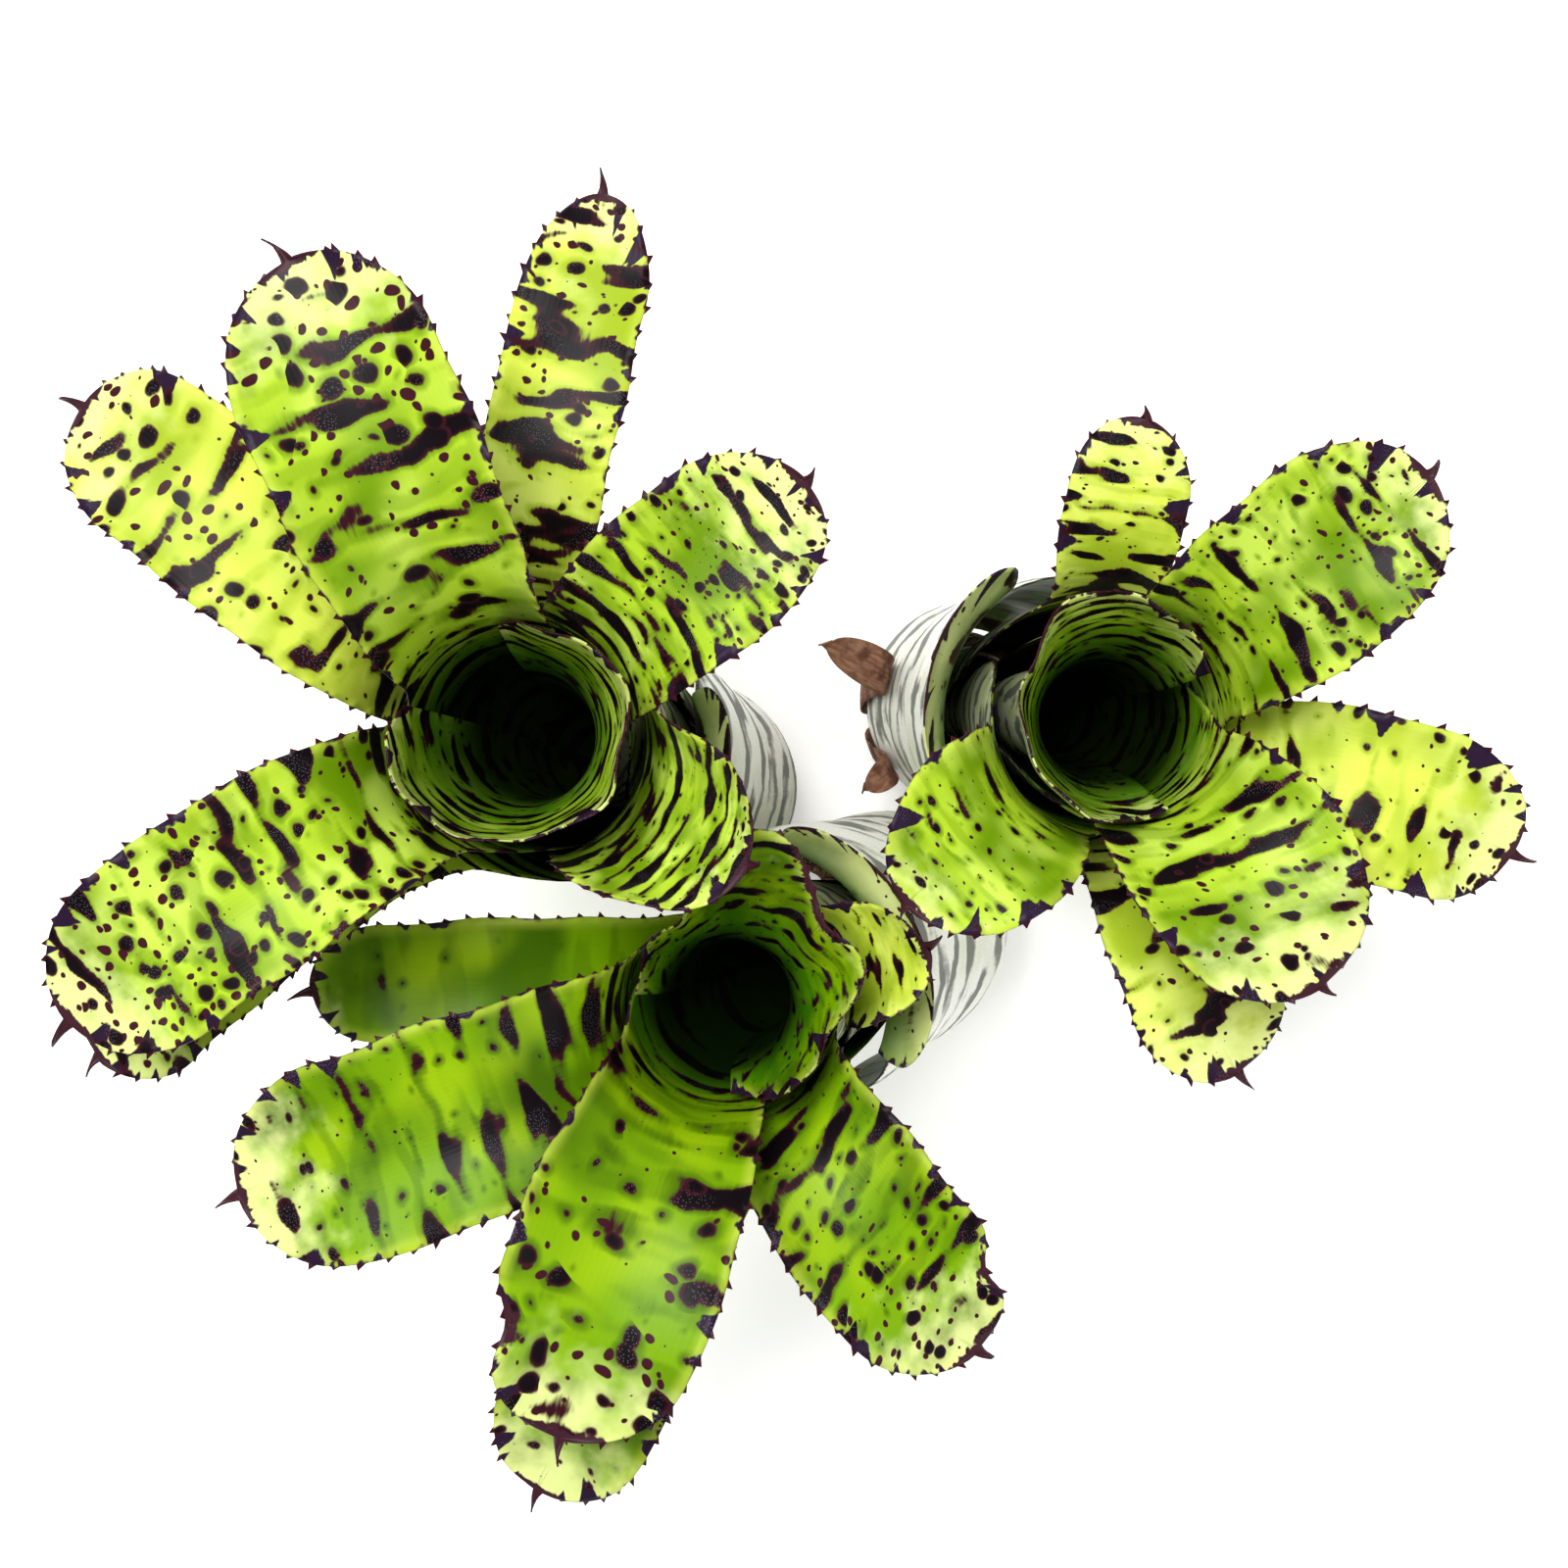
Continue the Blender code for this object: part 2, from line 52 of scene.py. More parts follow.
# Form of the clump, in millimetres and degrees, as the solids have it
LAYER_SPACING = 1.6
TUBE_HEIGHTS = (32.0, 44.0, 56.0, 68.0, 80.0, 92.0, 104.0)
TUBE_RADII = (3.2, 7.6, 10.8, 12.6, 14.2, 15.7, 17.0)
TUBE_EASE = (-5.0, -2.5, 0.0, 2.5, 5.0)
UPRIGHT_SHARE = 0.8
OUTER_LAYER = 8
LOWEST_SHEATH = 7.0
SHEATH_STEP = 3.0
BULB_TOP = 64.0
BULB_LOWNESS = 0.6
NARROWING = 30.0
NECK_SHARE = 0.84
OPENING_SHARE = 0.55
WIDEST_SHARE = 0.5
UPRIGHT_LENGTH = 14.0
BLADE_CURVATURE = 1.0 / 34.0
TIP_SHARE = 0.6
TIP_HALF_WIDTH = 0.9
CUP_HEIGHT = 80.0
CUP_SPAN = 20.0
CUP_NARROWING = 3.5
CUP_FOOT = 34.0
CUP_REACH = 70.0
LIP_PLACE = 26.0
LIP_SPREAD = 42.0
NOTCH_SPREAD = 20.0
STEM_FOOT_RADIUS = 11.5
STEM_FOOT_FLARE = 2.5
STEM_FOOT_ROUND = 1.8
STEM_CLEARANCE = 0.5
STEM_CLEARANCE_SHARE = 0.03
STOLON_RADIUS = 2.6
STOLON_HEIGHT = 3.4
STOLON_DIP = 0.6
STOLON_SWELL = 0.08
STOLON_GAP = 0.15
STOLON_RINGS = 36
STOLON_SCALES = 4
STOLON_SIDES = 24
FOOT_FLAT_SHARE = 0.6
FOOT_STEPS = 5
STEM_ROWS = 44
STEM_SIDES = 56
SCAR_DEPTH = 0.25
BARK_ROUGHNESS = 0.25
BARK_GRAIN = 450.0

# Shares of a blade's span over which it keeps its first and its last direction
RISE_SHARE = 0.42
RUN_SHARE = 0.38
ROUTE_STEPS = 60

# Waves of a margin and dents of a blade: lengths in millimetres, dents in cycles a millimetre
WAVES_START = 30.0
WAVE_LENGTH = 19.0
WAVE_PHASES = (2.3, 1.5)
DENTS = (0.11, 0.05)
DENT_SHIFT = 7.0
RIPPLES_A_TURN = 9.0
RIPPLE_HEIGHT = 0.35

# Teeth and spines: lean, length and thickness as shares, and how far from the ends they stop
TOOTH_LEAN = 0.55
TOOTH_POINT = 0.12
TOOTH_UNEVENNESS = 0.25
TOOTH_RHYTHM = 2.4
TEETH_OFF_TIP = 0.4
TEETH_OFF_TUBE = 1.0
RIM_BAND = 0.3
SPINE_TAPER = 1.4

# Fineness of the meshes, and how far in from an edge a leaf thins
COLUMNS_A_MM = 0.35
CUP_COLUMNS = 84
CUP_ROWS = 24
RIM_ROWS = 20
THIN_WITHIN = 6.0

# What the finishes read: how deep down the tube a leaf or a cup darkens with painted shade, how
# bands and spots change toward the tip, how far a cup's marks and its dried curl reach, and how
# far apart patterns lie
SHADE_DEPTH = 27.0
CUP_SHADE_DEPTH = 30.0
CHANGE_SHARE = 0.8
BAND_LOSS, BAND_MIDDLE = 0.6, 0.4
SPOT_GAIN, SPOT_MIDDLE = 0.5, 0.6
CUP_SPOTS = 0.5
CUP_MARK_DEPTH, CUP_MARK_RUN = 0.6, 1.3
CURL_DEPTH, CURL_SPREAD = 3.5, 1.3
LEAST_TIGHT_BELOW = 1.7
TIGHT_ACROSS = 0.4
PATTERN_SHIFT = 83.0
SIDE_SHIFT = 31.0

# First pattern number of each kind of leaf, so that no two leaves share one
NUMBERS_A_ROSETTE = 10
FIRST_HEART = 30
FIRST_SHEATH = 40
FIRST_BRACT = 50

# Where the photograph was taken from, above the middle of the clump
CAMERA_PLACE = (-25.0, 27.0, 430.0)
CAMERA_LENS = 48.24
SENSOR_WIDTH = 36.0

# Softboxes, in metres and watts: name, place, aim, size and power. Then surround and floor
SOFTBOXES = (
    ("overhead_softbox", (-0.35, 0.45, 1.3), (-0.02, 0.02, 0.05), 0.7, 24.0),
    ("low_fill", (0.9, -0.7, 0.8), (-0.02, 0.02, 0.08), 0.9, 5.0),
)
SURROUND = 0.38
FLOOR_HALF = 3.0
FLOOR_DROP = 0.02 * MM
FLOOR_GLOW = 0.35


def linear(code):
    """Scene colour of an sRGB hex value."""
    shares = [int(code[place:place + 2], 16) / 255.0 for place in (1, 3, 5)]
    return tuple(
        share / 12.92 if share <= 0.04045 else ((share + 0.055) / 1.055) ** 2.4
        for share in shares
    )


def smooth(value):
    """Ease from 0 to 1."""
    share = min(max(value, 0.0), 1.0)
    return share * share * (3.0 - 2.0 * share)


def mix(first, second, share):
    return first + (second - first) * share


def outward(bearing):
    angle = math.radians(bearing)
    return Vector((math.cos(angle), math.sin(angle), 0.0))


@dataclass(frozen=True)
class Rosette:
    """One tube: where its stem stands, the middle of its mouth, the swell of its outer sheath."""
    foot: Vector
    mouth: Vector
    swell: float

    def axis(self, height):
        """Middle of the tube at a height: upright at the foot, leaning, upright at the mouth."""
        share = smooth(height / (self.mouth.z * UPRIGHT_SHARE))
        flat = self.foot.lerp(self.mouth, share)
        return Vector((flat.x, flat.y, height))


@dataclass(frozen=True)
class Leaf:
    """One leaf. Bearings are seen from above, anticlockwise from +X."""
    name: str
    layer: int
    bearing: float
    leave: float
    reach: float
    tip_bearing: float
    tip_height: float
    heading: float
    slope: float
    width: float
    wrap: float = 80.0
    fold: float = 1.0
    spine: float = 4.5
    rounding: float = 0.62
    toothed: bool = True
    finish: str = "lime"
    tight: float = 1.0
    slant: float = 0.0
    bands: float = 0.5
    spots: float = 0.5
    crest: float = 1.3
    grain: float = 1.0
    hook: float = 1.0
    fresh: float = 0.0
    sunk: float = 0.0
    nick: tuple = ()


@dataclass(frozen=True)
class Heart:
    """Innermost leaf, still rolled: a cup with a flared, notched rim round the mouth."""
    name: str
    bearing: float
    rim: float
    left_lip: float
    right_lip: float
    level: float
    notch_at: float
    wrap: float = 145.0
    drop: float = 14.0
    notch: float = 3.5
    finish: str = "lime"
    tight: float = 2.0
    slant: float = 0.0
    fresh: float = 7.0
    bands: float = 0.7
    grain: float = 1.7


ROSETTES = {
    "left": Rosette(Vector((-41.0, 25.5, 0.0)), Vector((-68.5, 35.1, 114.0)), 5.0),
    "front": Rosette(Vector((0.0, 0.0, 0.0)), Vector((-34.5, -9.4, 102.0)), 7.0),
    "right": Rosette(Vector((10.0, 43.0, 0.0)), Vector((28.8, 37.5, 108.0)), 4.5),
}

HEARTS = {
    "left": Heart("left_leaf_heart", 310, 114, 4.0, 3.0, level=122, notch_at=45),
    "front": Heart("front_leaf_heart", 43, 99, 14.0, 7.0, level=85, notch_at=7, wrap=130,
                   finish="green", tight=1.7, slant=0.7, fresh=14.0, bands=0.5, grain=3.0),
    "right": Heart("right_leaf_heart", 162, 110, 1.0, 3.5, level=70, notch_at=-20, wrap=135),
}

LEAVES = {
    "left": (
        Leaf("left_leaf_1", 1, 113, 98, 74, 113, 124, 116, 0, 33, wrap=105, bands=0.62,
             spots=1.0, hook=2.0),
        Leaf("left_leaf_2", 2, 40, 95, 60, 38.5, 113, 42, -10, 28, tight=1.8, bands=0.85,
             spots=0.8, grain=1.1, spine=2.5),
        Leaf("left_leaf_3", 3, 212, 93, 78, 214.4, 113, 222, -5, 30, tight=1.1, bands=0.5,
             spots=1.0, grain=1.15),
        Leaf("left_leaf_4", 4, 332, 84, 43, 332, 110, 335, 45, 39, fold=2.3, tight=2.2,
             bands=0.9, spots=0.4, grain=1.25, fresh=9.0, spine=2.5),
        Leaf("left_leaf_5", 5, 145, 84, 84, 142.5, 100, 147, -15, 27, finish="yellow",
             bands=0.45, spots=0.85),
        Leaf("left_leaf_6", 6, 80, 80, 88, 80.6, 92, 84, -10, 21, rounding=1.0,
             finish="yellow", bands=0.95, spots=0.8, tight=1.15),
        Leaf("left_leaf_7", 7, 218, 74, 86, 217.5, 88, 224, -20, 24, spots=0.6),
    ),
    "front": (
        Leaf("front_leaf_1", 1, 243, 91, 66.9, 248.6, 113, 254, -10, 34.5, wrap=105,
             finish="green", bands=0.45, spots=0.75, grain=0.85, crest=2.0,
             nick=(15.0, -1.0, 3.5, 5.0)),
        Leaf("front_leaf_2", 2, 200, 86, 80, 200, 103.5, 198, -10, 33, finish="green",
             bands=0.5, spots=0.35, tight=1.2, grain=1.1),
        Leaf("front_leaf_3", 3, 305, 82, 67, 307, 96, 314, -15, 29, finish="green",
             bands=0.45, spots=0.8, grain=1.35, slant=0.3, spine=3.0, nick=(10.0, 1.0, 3.0, 4.0)),
        Leaf("front_leaf_4", 4, 20, 74, 34, 17.7, 92, 20, 50, 24, fold=2.6, finish="yellow",
             tight=1.8, bands=0.6, spots=0.1, grain=1.5, fresh=11.0),
        Leaf("front_leaf_5", 5, 168, 58, 70.6, 179, 74, 188, -5, 20, finish="green",
             bands=-0.5, spots=-0.2, fresh=12.0),
        Leaf("front_leaf_6", 6, 262, 62, 86.5, 248.8, 82, 240, -20, 27, finish="green",
             bands=-0.3, spots=0.2),
    ),
    "right": (
        Leaf("right_leaf_1", 1, 305, 92, 49.5, 304, 112, 304, -5, 35, wrap=105, bands=0.45,
             spots=0.75, slant=-0.25, grain=1.3, spine=2.5),
        Leaf("right_leaf_2", 2, 40, 90, 56.4, 39.7, 114, 38, 0, 31, tight=1.1, bands=0.4,
             spots=0.75, grain=1.45, spine=2.5, fresh=4.0),
        Leaf("right_leaf_3", 3, 220, 88, 45.5, 220, 104, 222, -15, 31, tight=2.0, bands=0.15,
             spots=0.5, spine=2.0, fresh=8.0),
        Leaf("right_leaf_4", 4, 338, 80, 65.7, 340.8, 96, 330, -15, 27, finish="yellow",
             bands=0.42, spots=0.45, grain=1.2),
        Leaf("right_leaf_5", 5, 92, 76, 48, 85, 94, 72, 10, 20, finish="yellow", tight=2.0,
             bands=0.8, spots=0.6, spine=2.0, fresh=4.0),
        Leaf("right_leaf_6", 6, 285, 74, 61.7, 290, 84, 300, -15, 26, finish="yellow",
             bands=0.6, spots=0.6, grain=1.2),
    ),
}

OLD_SHEATH = {"spine": 1.5, "toothed": False, "finish": "sheath", "sunk": 14.0}
SHEATHS = {
    "left": Leaf("left_sheath", 8, 345, 72, 35, 344, 83, 345, 80, 34, **OLD_SHEATH),
    "front": Leaf("front_sheath", 8, 24, 66, 34, 24, 77, 28, 78, 50, wrap=112, **OLD_SHEATH),
    "right": Leaf("right_sheath", 8, 160, 74, 31, 160, 86, 160, 82, 40, wrap=100, **OLD_SHEATH),
}

BRACTS = (
    Leaf("right_bract_1", 9, 165, 32, 48, 162, 48, 156, 35, 8, wrap=22, spine=2.0,
         rounding=1.4, toothed=False, finish="bract"),
    Leaf("right_bract_2", 9, 209, 27, 40, 196, 36, 200, 40, 6, wrap=19, spine=1.5,
         rounding=1.4, toothed=False, finish="bract"),
)

STOLONS = (("stolon_left_front", "left", "front"), ("stolon_front_right", "front", "right"))

# Finishes of the upper and the lower side of each kind of leaf
SIDES = {
    "lime": ("lime", "under"),
    "yellow": ("yellow", "under"),
    "green": ("green", "under"),
    "sheath": ("inside", "sheath"),
    "bract": ("bract", "bract"),
}


def length_property(label, description, default, least=0.0):
    return bpy.props.FloatProperty(
        name=label, description=description, default=default * MM, min=least, unit="LENGTH",
        precision=5)


class LeafSizes(bpy.types.PropertyGroup):
    """Sizes of the fine forms that the leaves get here."""
    thickness: length_property("Thickness", "Thickness of a blade along its middle", 0.9)
    margin: bpy.props.FloatProperty(
        name="Margin", description="Thickness at the margin, as a share of the middle's",
        default=0.35, min=0.1, max=1.0, subtype="FACTOR")
    tooth_length: length_property("Tooth length", "How far a marginal tooth stands out", 1.1)
    tooth_spacing: length_property(
        "Tooth spacing", "Distance between teeth along the margin", 3.3, least=MM)
    wave: length_property("Wave", "Height of the waves in a blade's margin", 0.7)
    unevenness: length_property("Unevenness", "Depth of the shallow dents in a blade", 0.5)


def colour_property(label, description, code):
    return bpy.props.FloatVectorProperty(
        name=label, description=description, default=linear(code), size=3,
        min=0.0, max=1.0, subtype="COLOR")


class LeafColours(bpy.types.PropertyGroup):
    """Colours of the finishes."""
    lime: colour_property("Lime", "Ground of the lime leaves", "#A4C42A")
    yellow: colour_property("Yellow", "Ground of the yellower, older leaves", "#CDDA50")
    green: colour_property("Green", "Ground of the greener leaves of the front rosette", "#709A04")
    pale: colour_property("Pale tip", "Bleached tissue round the tips", "#EEF6A2")
    # Shade is painted shade: the deeper green laid over the upper tank's walls
    shade: colour_property("Shade", "Green of the upper tank", "#2F6A04")
    band: colour_property("Band", "Heart of the dark bands and spots", "#0C050A")
    maroon: colour_property("Band edge", "Thin, redder edge of the bands and spots", "#38101A")
    # Tank is painted shade: the near-black laid over leaves and cups far down the tube
    tank: colour_property("Tank", "Wet darkness down in the tank", "#040803")
    wedge: colour_property("Margin mark", "Purple marks along the margin", "#24142A")
    crest: colour_property("Dry crest", "Dried, purple-brown tissue at tips and dents", "#3A1C26")
    scurf: colour_property("Scurf", "White specks on the dark marks", "#A9A5B2")
    # Painted light: the outer sheath's ground is set near white, whiter than its pale tissue, for
    # the backlight blooming on it
    sheath: colour_property("Outer sheath", "Ground of the pale outer sheaths", "#FAFAF2")
    inside: colour_property("Sheath inside", "Inner side of the outer sheaths", "#A9B982")
    under: colour_property("Underside", "Ground of the living leaves' undersides", "#B5C27E")
    stripe: colour_property("Sheath stripe", "Charcoal stripes of the undersides", "#50554B")
    bract: colour_property("Bract", "Dry papery bracts", "#7A5240")
    bark: colour_property("Bark", "Corky stems and stolons", "#6B523B")


class StageSettings(bpy.types.PropertyGroup):
    """Floor and lights."""
    floor: colour_property("Floor", "Plain pale floor", "#FAFAF8")
    light: bpy.props.FloatProperty(
        name="Light", description="Strength of the softboxes", default=1.0, min=0.0)


def settings():
    return bpy.context.scene.neoregelia_sizes


def tube_radius(layer, height):
    """Radius of a layer of sheaths round the tube's axis, its knots eased."""
    total = 0.0
    for shift in TUBE_EASE:
        total += knot_radius(height + shift)
    return total / len(TUBE_EASE) + layer * LAYER_SPACING


def knot_radius(height):
    """Inner radius of the tube between its driving heights."""
    if height <= TUBE_HEIGHTS[0]:
        return TUBE_RADII[0]
    for step in range(len(TUBE_HEIGHTS) - 1):
        low, high = TUBE_HEIGHTS[step], TUBE_HEIGHTS[step + 1]
        if height <= high:
            return mix(TUBE_RADII[step], TUBE_RADII[step + 1], (height - low) / (high - low))
    return TUBE_RADII[-1]


def bulb(height):
    """How much of its swell an outer sheath has at a height."""
    share = (height - LOWEST_SHEATH) / (BULB_TOP - LOWEST_SHEATH)
    if not 0.0 < share < 1.0:
        return 0.0
    return math.sin(math.pi * share ** BULB_LOWNESS)


def sheath_base(layer):
    """Height at which a layer's sheath starts on the stem."""
    return LOWEST_SHEATH + (OUTER_LAYER - layer) * SHEATH_STEP


class LeafShape:
    """Places points of one leaf: s is the distance from where the blade leaves the tube."""
    SHEATH_ROW = 2.4
    BLADE_ROW = 1.2
    TIP_ROWS = 22
    SPINE_ROWS = 5

    def __init__(self, rosette, leaf, number):
        self.rosette = rosette
        self.leaf = leaf
        self.number = number
        self.base = sheath_base(leaf.layer) - leaf.leave
        self.frames = {}
        self.set_route()
        self.measure()
        self.tip_zone = min(leaf.width * leaf.rounding, self.length * TIP_SHARE)
        self.body = self.length - self.tip_zone

    def set_route(self):
        """Four control points of the blade's middle line."""
        leaf = self.leaf
        start = self.sheath_point(leaf.leave)
        up = (start - self.sheath_point(leaf.leave - 4.0)).normalized()
        end = self.rosette.mouth + outward(leaf.tip_bearing) * leaf.reach
        end.z = leaf.tip_height
        slope = math.radians(leaf.slope)
        way = outward(leaf.heading) * math.cos(slope) + Vector((0.0, 0.0, math.sin(slope)))
        span = (end - start).length
        self.route = (start, start + up * span * RISE_SHARE, end - way * span * RUN_SHARE, end)

    def measure(self):
        """Distances along the blade's middle line, to walk it evenly."""
        self.marks = [0.0]
        last = self.route[0]
        for step in range(1, ROUTE_STEPS + 1):
            point = self.curve(step / ROUTE_STEPS)
            self.marks.append(self.marks[-1] + (point - last).length)
            last = point
        self.length = self.marks[-1]

    def curve(self, t):
        """Point of the blade's middle line at a curve parameter."""
        a, b, c, d = self.route
        r = 1.0 - t
        return a * r ** 3 + b * 3.0 * r * r * t + c * 3.0 * r * t * t + d * t ** 3

    def tangent(self, t):
        a, b, c, d = self.route
        r = 1.0 - t
        return ((b - a) * r * r + (c - b) * 2.0 * r * t + (d - c) * t * t).normalized()

    def share_at(self, s):
        """Curve parameter at a distance along the blade."""
        for step in range(ROUTE_STEPS):
            low, high = self.marks[step], self.marks[step + 1]
            if s <= high:
                return (step + max(s - low, 0.0) / (high - low)) / ROUTE_STEPS
        return 1.0

    def radius(self, height):
        swell = self.rosette.swell if self.leaf.layer >= OUTER_LAYER else 0.0
        return tube_radius(self.leaf.layer, height) + swell * bulb(height)

    def sheath_point(self, height):
        return self.rosette.axis(height) + outward(self.leaf.bearing) * self.radius(height)

    def half_width(self, s):
        """Half width of the flattened leaf."""
        leaf = self.leaf
        neck = leaf.width * 0.5 * NECK_SHARE
        if s <= 0.0:
            full = math.radians(leaf.wrap) * self.radius(leaf.leave + s)
            return mix(full, neck, smooth((s + NARROWING) / NARROWING))
        if s > self.length:
            return TIP_HALF_WIDTH * max(1.0 - (s - self.length) / leaf.spine, 0.0) ** SPINE_TAPER
        body = mix(neck, leaf.width * 0.5, smooth(s / (WIDEST_SHARE * self.length)))
        into_tip = (s - self.body) / self.tip_zone
        if into_tip > 0.0:
            body *= math.sqrt(max(1.0 - into_tip ** 2, 0.0))
        return max(body, TIP_HALF_WIDTH)

    def curvature(self, s):
        """Curvature across the leaf: the tube's in the sheath, a shallow channel beyond."""
        tube = 1.0 / self.radius(self.leaf.leave + min(s, 0.0))
        opening = smooth(s / (OPENING_SHARE * self.length))
        return mix(tube, BLADE_CURVATURE * self.leaf.fold, opening)

    def frame(self, s):
        """Middle point, sideways direction and upper-face direction."""
        if s not in self.frames:
            self.frames[s] = self.find_frame(s)
        return self.frames[s]

    def find_frame(self, s):
        leaf = self.leaf
        side = outward(leaf.bearing + 90.0)
        inward = -outward(leaf.bearing)
        if s <= 0.0:
            return self.sheath_point(leaf.leave + s), side, inward
        t = self.share_at(s)
        turn = (leaf.heading - leaf.bearing + 180.0) % 360.0 - 180.0
        side = outward(leaf.bearing + turn * smooth(t) + 90.0)
        along = self.tangent(t)
        side = (side - along * side.dot(along)).normalized()
        face = along.cross(side)
        face = inward.lerp(face, smooth(s / UPRIGHT_LENGTH)).normalized()
        middle = self.curve(t)
        if s > self.length:
            over = s - self.length
            middle = middle + along * over + side * leaf.hook * (over / leaf.spine) ** 2
        return middle, side, face

    def relief(self, s, across, share):
        """Height of the margin's waves and the blade's shallow dents over the smooth form."""
        sizes = settings()
        free = smooth(s / WAVES_START)
        leafwise, sidewise = WAVE_PHASES
        phase = leafwise * self.number + sidewise * math.copysign(1.0, share)
        wave = math.sin(math.tau * s / WAVE_LENGTH + phase)
        place = Vector((across * DENTS[0], s * DENTS[1], DENT_SHIFT * self.number))
        dents = noise.noise(place) * sizes.unevenness
        return free * (wave * share * share * sizes.wave + dents) / MM

    def place(self, s, v):
        """Point of the leaf at distance s and share v of the half width."""
        middle, side, face = self.frame(s)
        bend = self.curvature(s)
        across = v * self.half_width(s) - self.nick_depth(s, v)
        lift = (1.0 - math.cos(bend * across)) / bend
        point = middle + side * math.sin(bend * across) / bend + face * lift
        if s > 0.0:
            upright = face * math.cos(bend * across) - side * math.sin(bend * across)
            point = point + upright * self.relief(s, across, v)
        return point * MM

    def nick_share(self, s, v):
        """How near a point lies to the dent that damage left in the margin, 0 to 1."""
        if not self.leaf.nick:
            return 0.0
        from_tip, side, _, spread = self.leaf.nick
        along = (self.length - s - from_tip) / spread
        return math.exp(-along * along) * max(v * side, 0.0) ** 3

    def nick_depth(self, s, v):
        """How far the dent moves a point in from the margin."""
        if not self.leaf.nick:
            return 0.0
        return self.nick_share(s, v) * self.leaf.nick[1] * self.leaf.nick[2]

    def dryness(self, s, v, to_tip):
        """How dead the tissue is, 0 to 1: in the crest at the tip and round a dent."""
        tip = smooth(1.0 - to_tip / (2.0 * self.leaf.crest))
        return max(tip, self.nick_share(s, v))

    def habits(self, s, v):
        """Strength of bands and of spots: bands crowd toward the tube, spots toward the tip."""
        toward_tip = smooth(s / (CHANGE_SHARE * self.length))
        bands = self.leaf.bands + BAND_LOSS * (BAND_MIDDLE - toward_tip)
        spots = self.leaf.spots + SPOT_GAIN * (toward_tip - SPOT_MIDDLE)
        return bands, spots

    def rows(self):
        """Distances of the cross rows, closer together round the tip and in the spine."""
        sheath = max(int(-self.base / self.SHEATH_ROW), 2)
        blade = max(int(self.body / self.BLADE_ROW), 2)
        rows = [self.base * (1.0 - step / sheath) for step in range(sheath)]
        rows += [self.body * step / blade for step in range(blade)]
        for step in range(self.TIP_ROWS + 1):
            angle = 0.5 * math.pi * step / self.TIP_ROWS
            rows.append(self.body + self.tip_zone * math.sin(angle))
        for step in range(1, self.SPINE_ROWS + 1):
            rows.append(self.length + self.leaf.spine * step / self.SPINE_ROWS)
        return rows

    def edge_distance(self, s, v, inner):
        """Distance in from the nearest edge, where the leaf thins."""
        return inner

    def margin_place(self, s, v):
        """Distance in from the margin, distance round along it, and distance to the tip."""
        half = self.half_width(s)
        if s <= self.body:
            return half * (1.0 - abs(v)), s, self.length - s
        x = (s - self.body) / self.tip_zone
        y = abs(v) * half / (self.leaf.width * 0.5)
        inner = (1.0 - min(math.hypot(x, y), 1.0)) * min(self.tip_zone, self.leaf.width * 0.5)
        mean = 0.5 * (self.tip_zone + self.leaf.width * 0.5)
        return inner, self.body + math.atan2(x, y) * mean, self.length - s

    def depth(self, s):
        """How deep a point lies in the tube, from 0 on the blade to 1 far down; painted shade
        follows it.
        """
        return smooth((self.leaf.sunk - s) / SHADE_DEPTH)

    def pattern_place(self, s, v):
        """Millimetres across and along, bands closer together down in the tube."""
        across = v * self.half_width(s)
        tight = self.leaf.tight
        along = s * tight if s > 0.0 else s * max(tight, LEAST_TIGHT_BELOW)
        grain = self.leaf.grain
        across_tight = mix(1.0, tight, TIGHT_ACROSS)
        return across * across_tight * grain, (along + across * self.leaf.slant) * grain


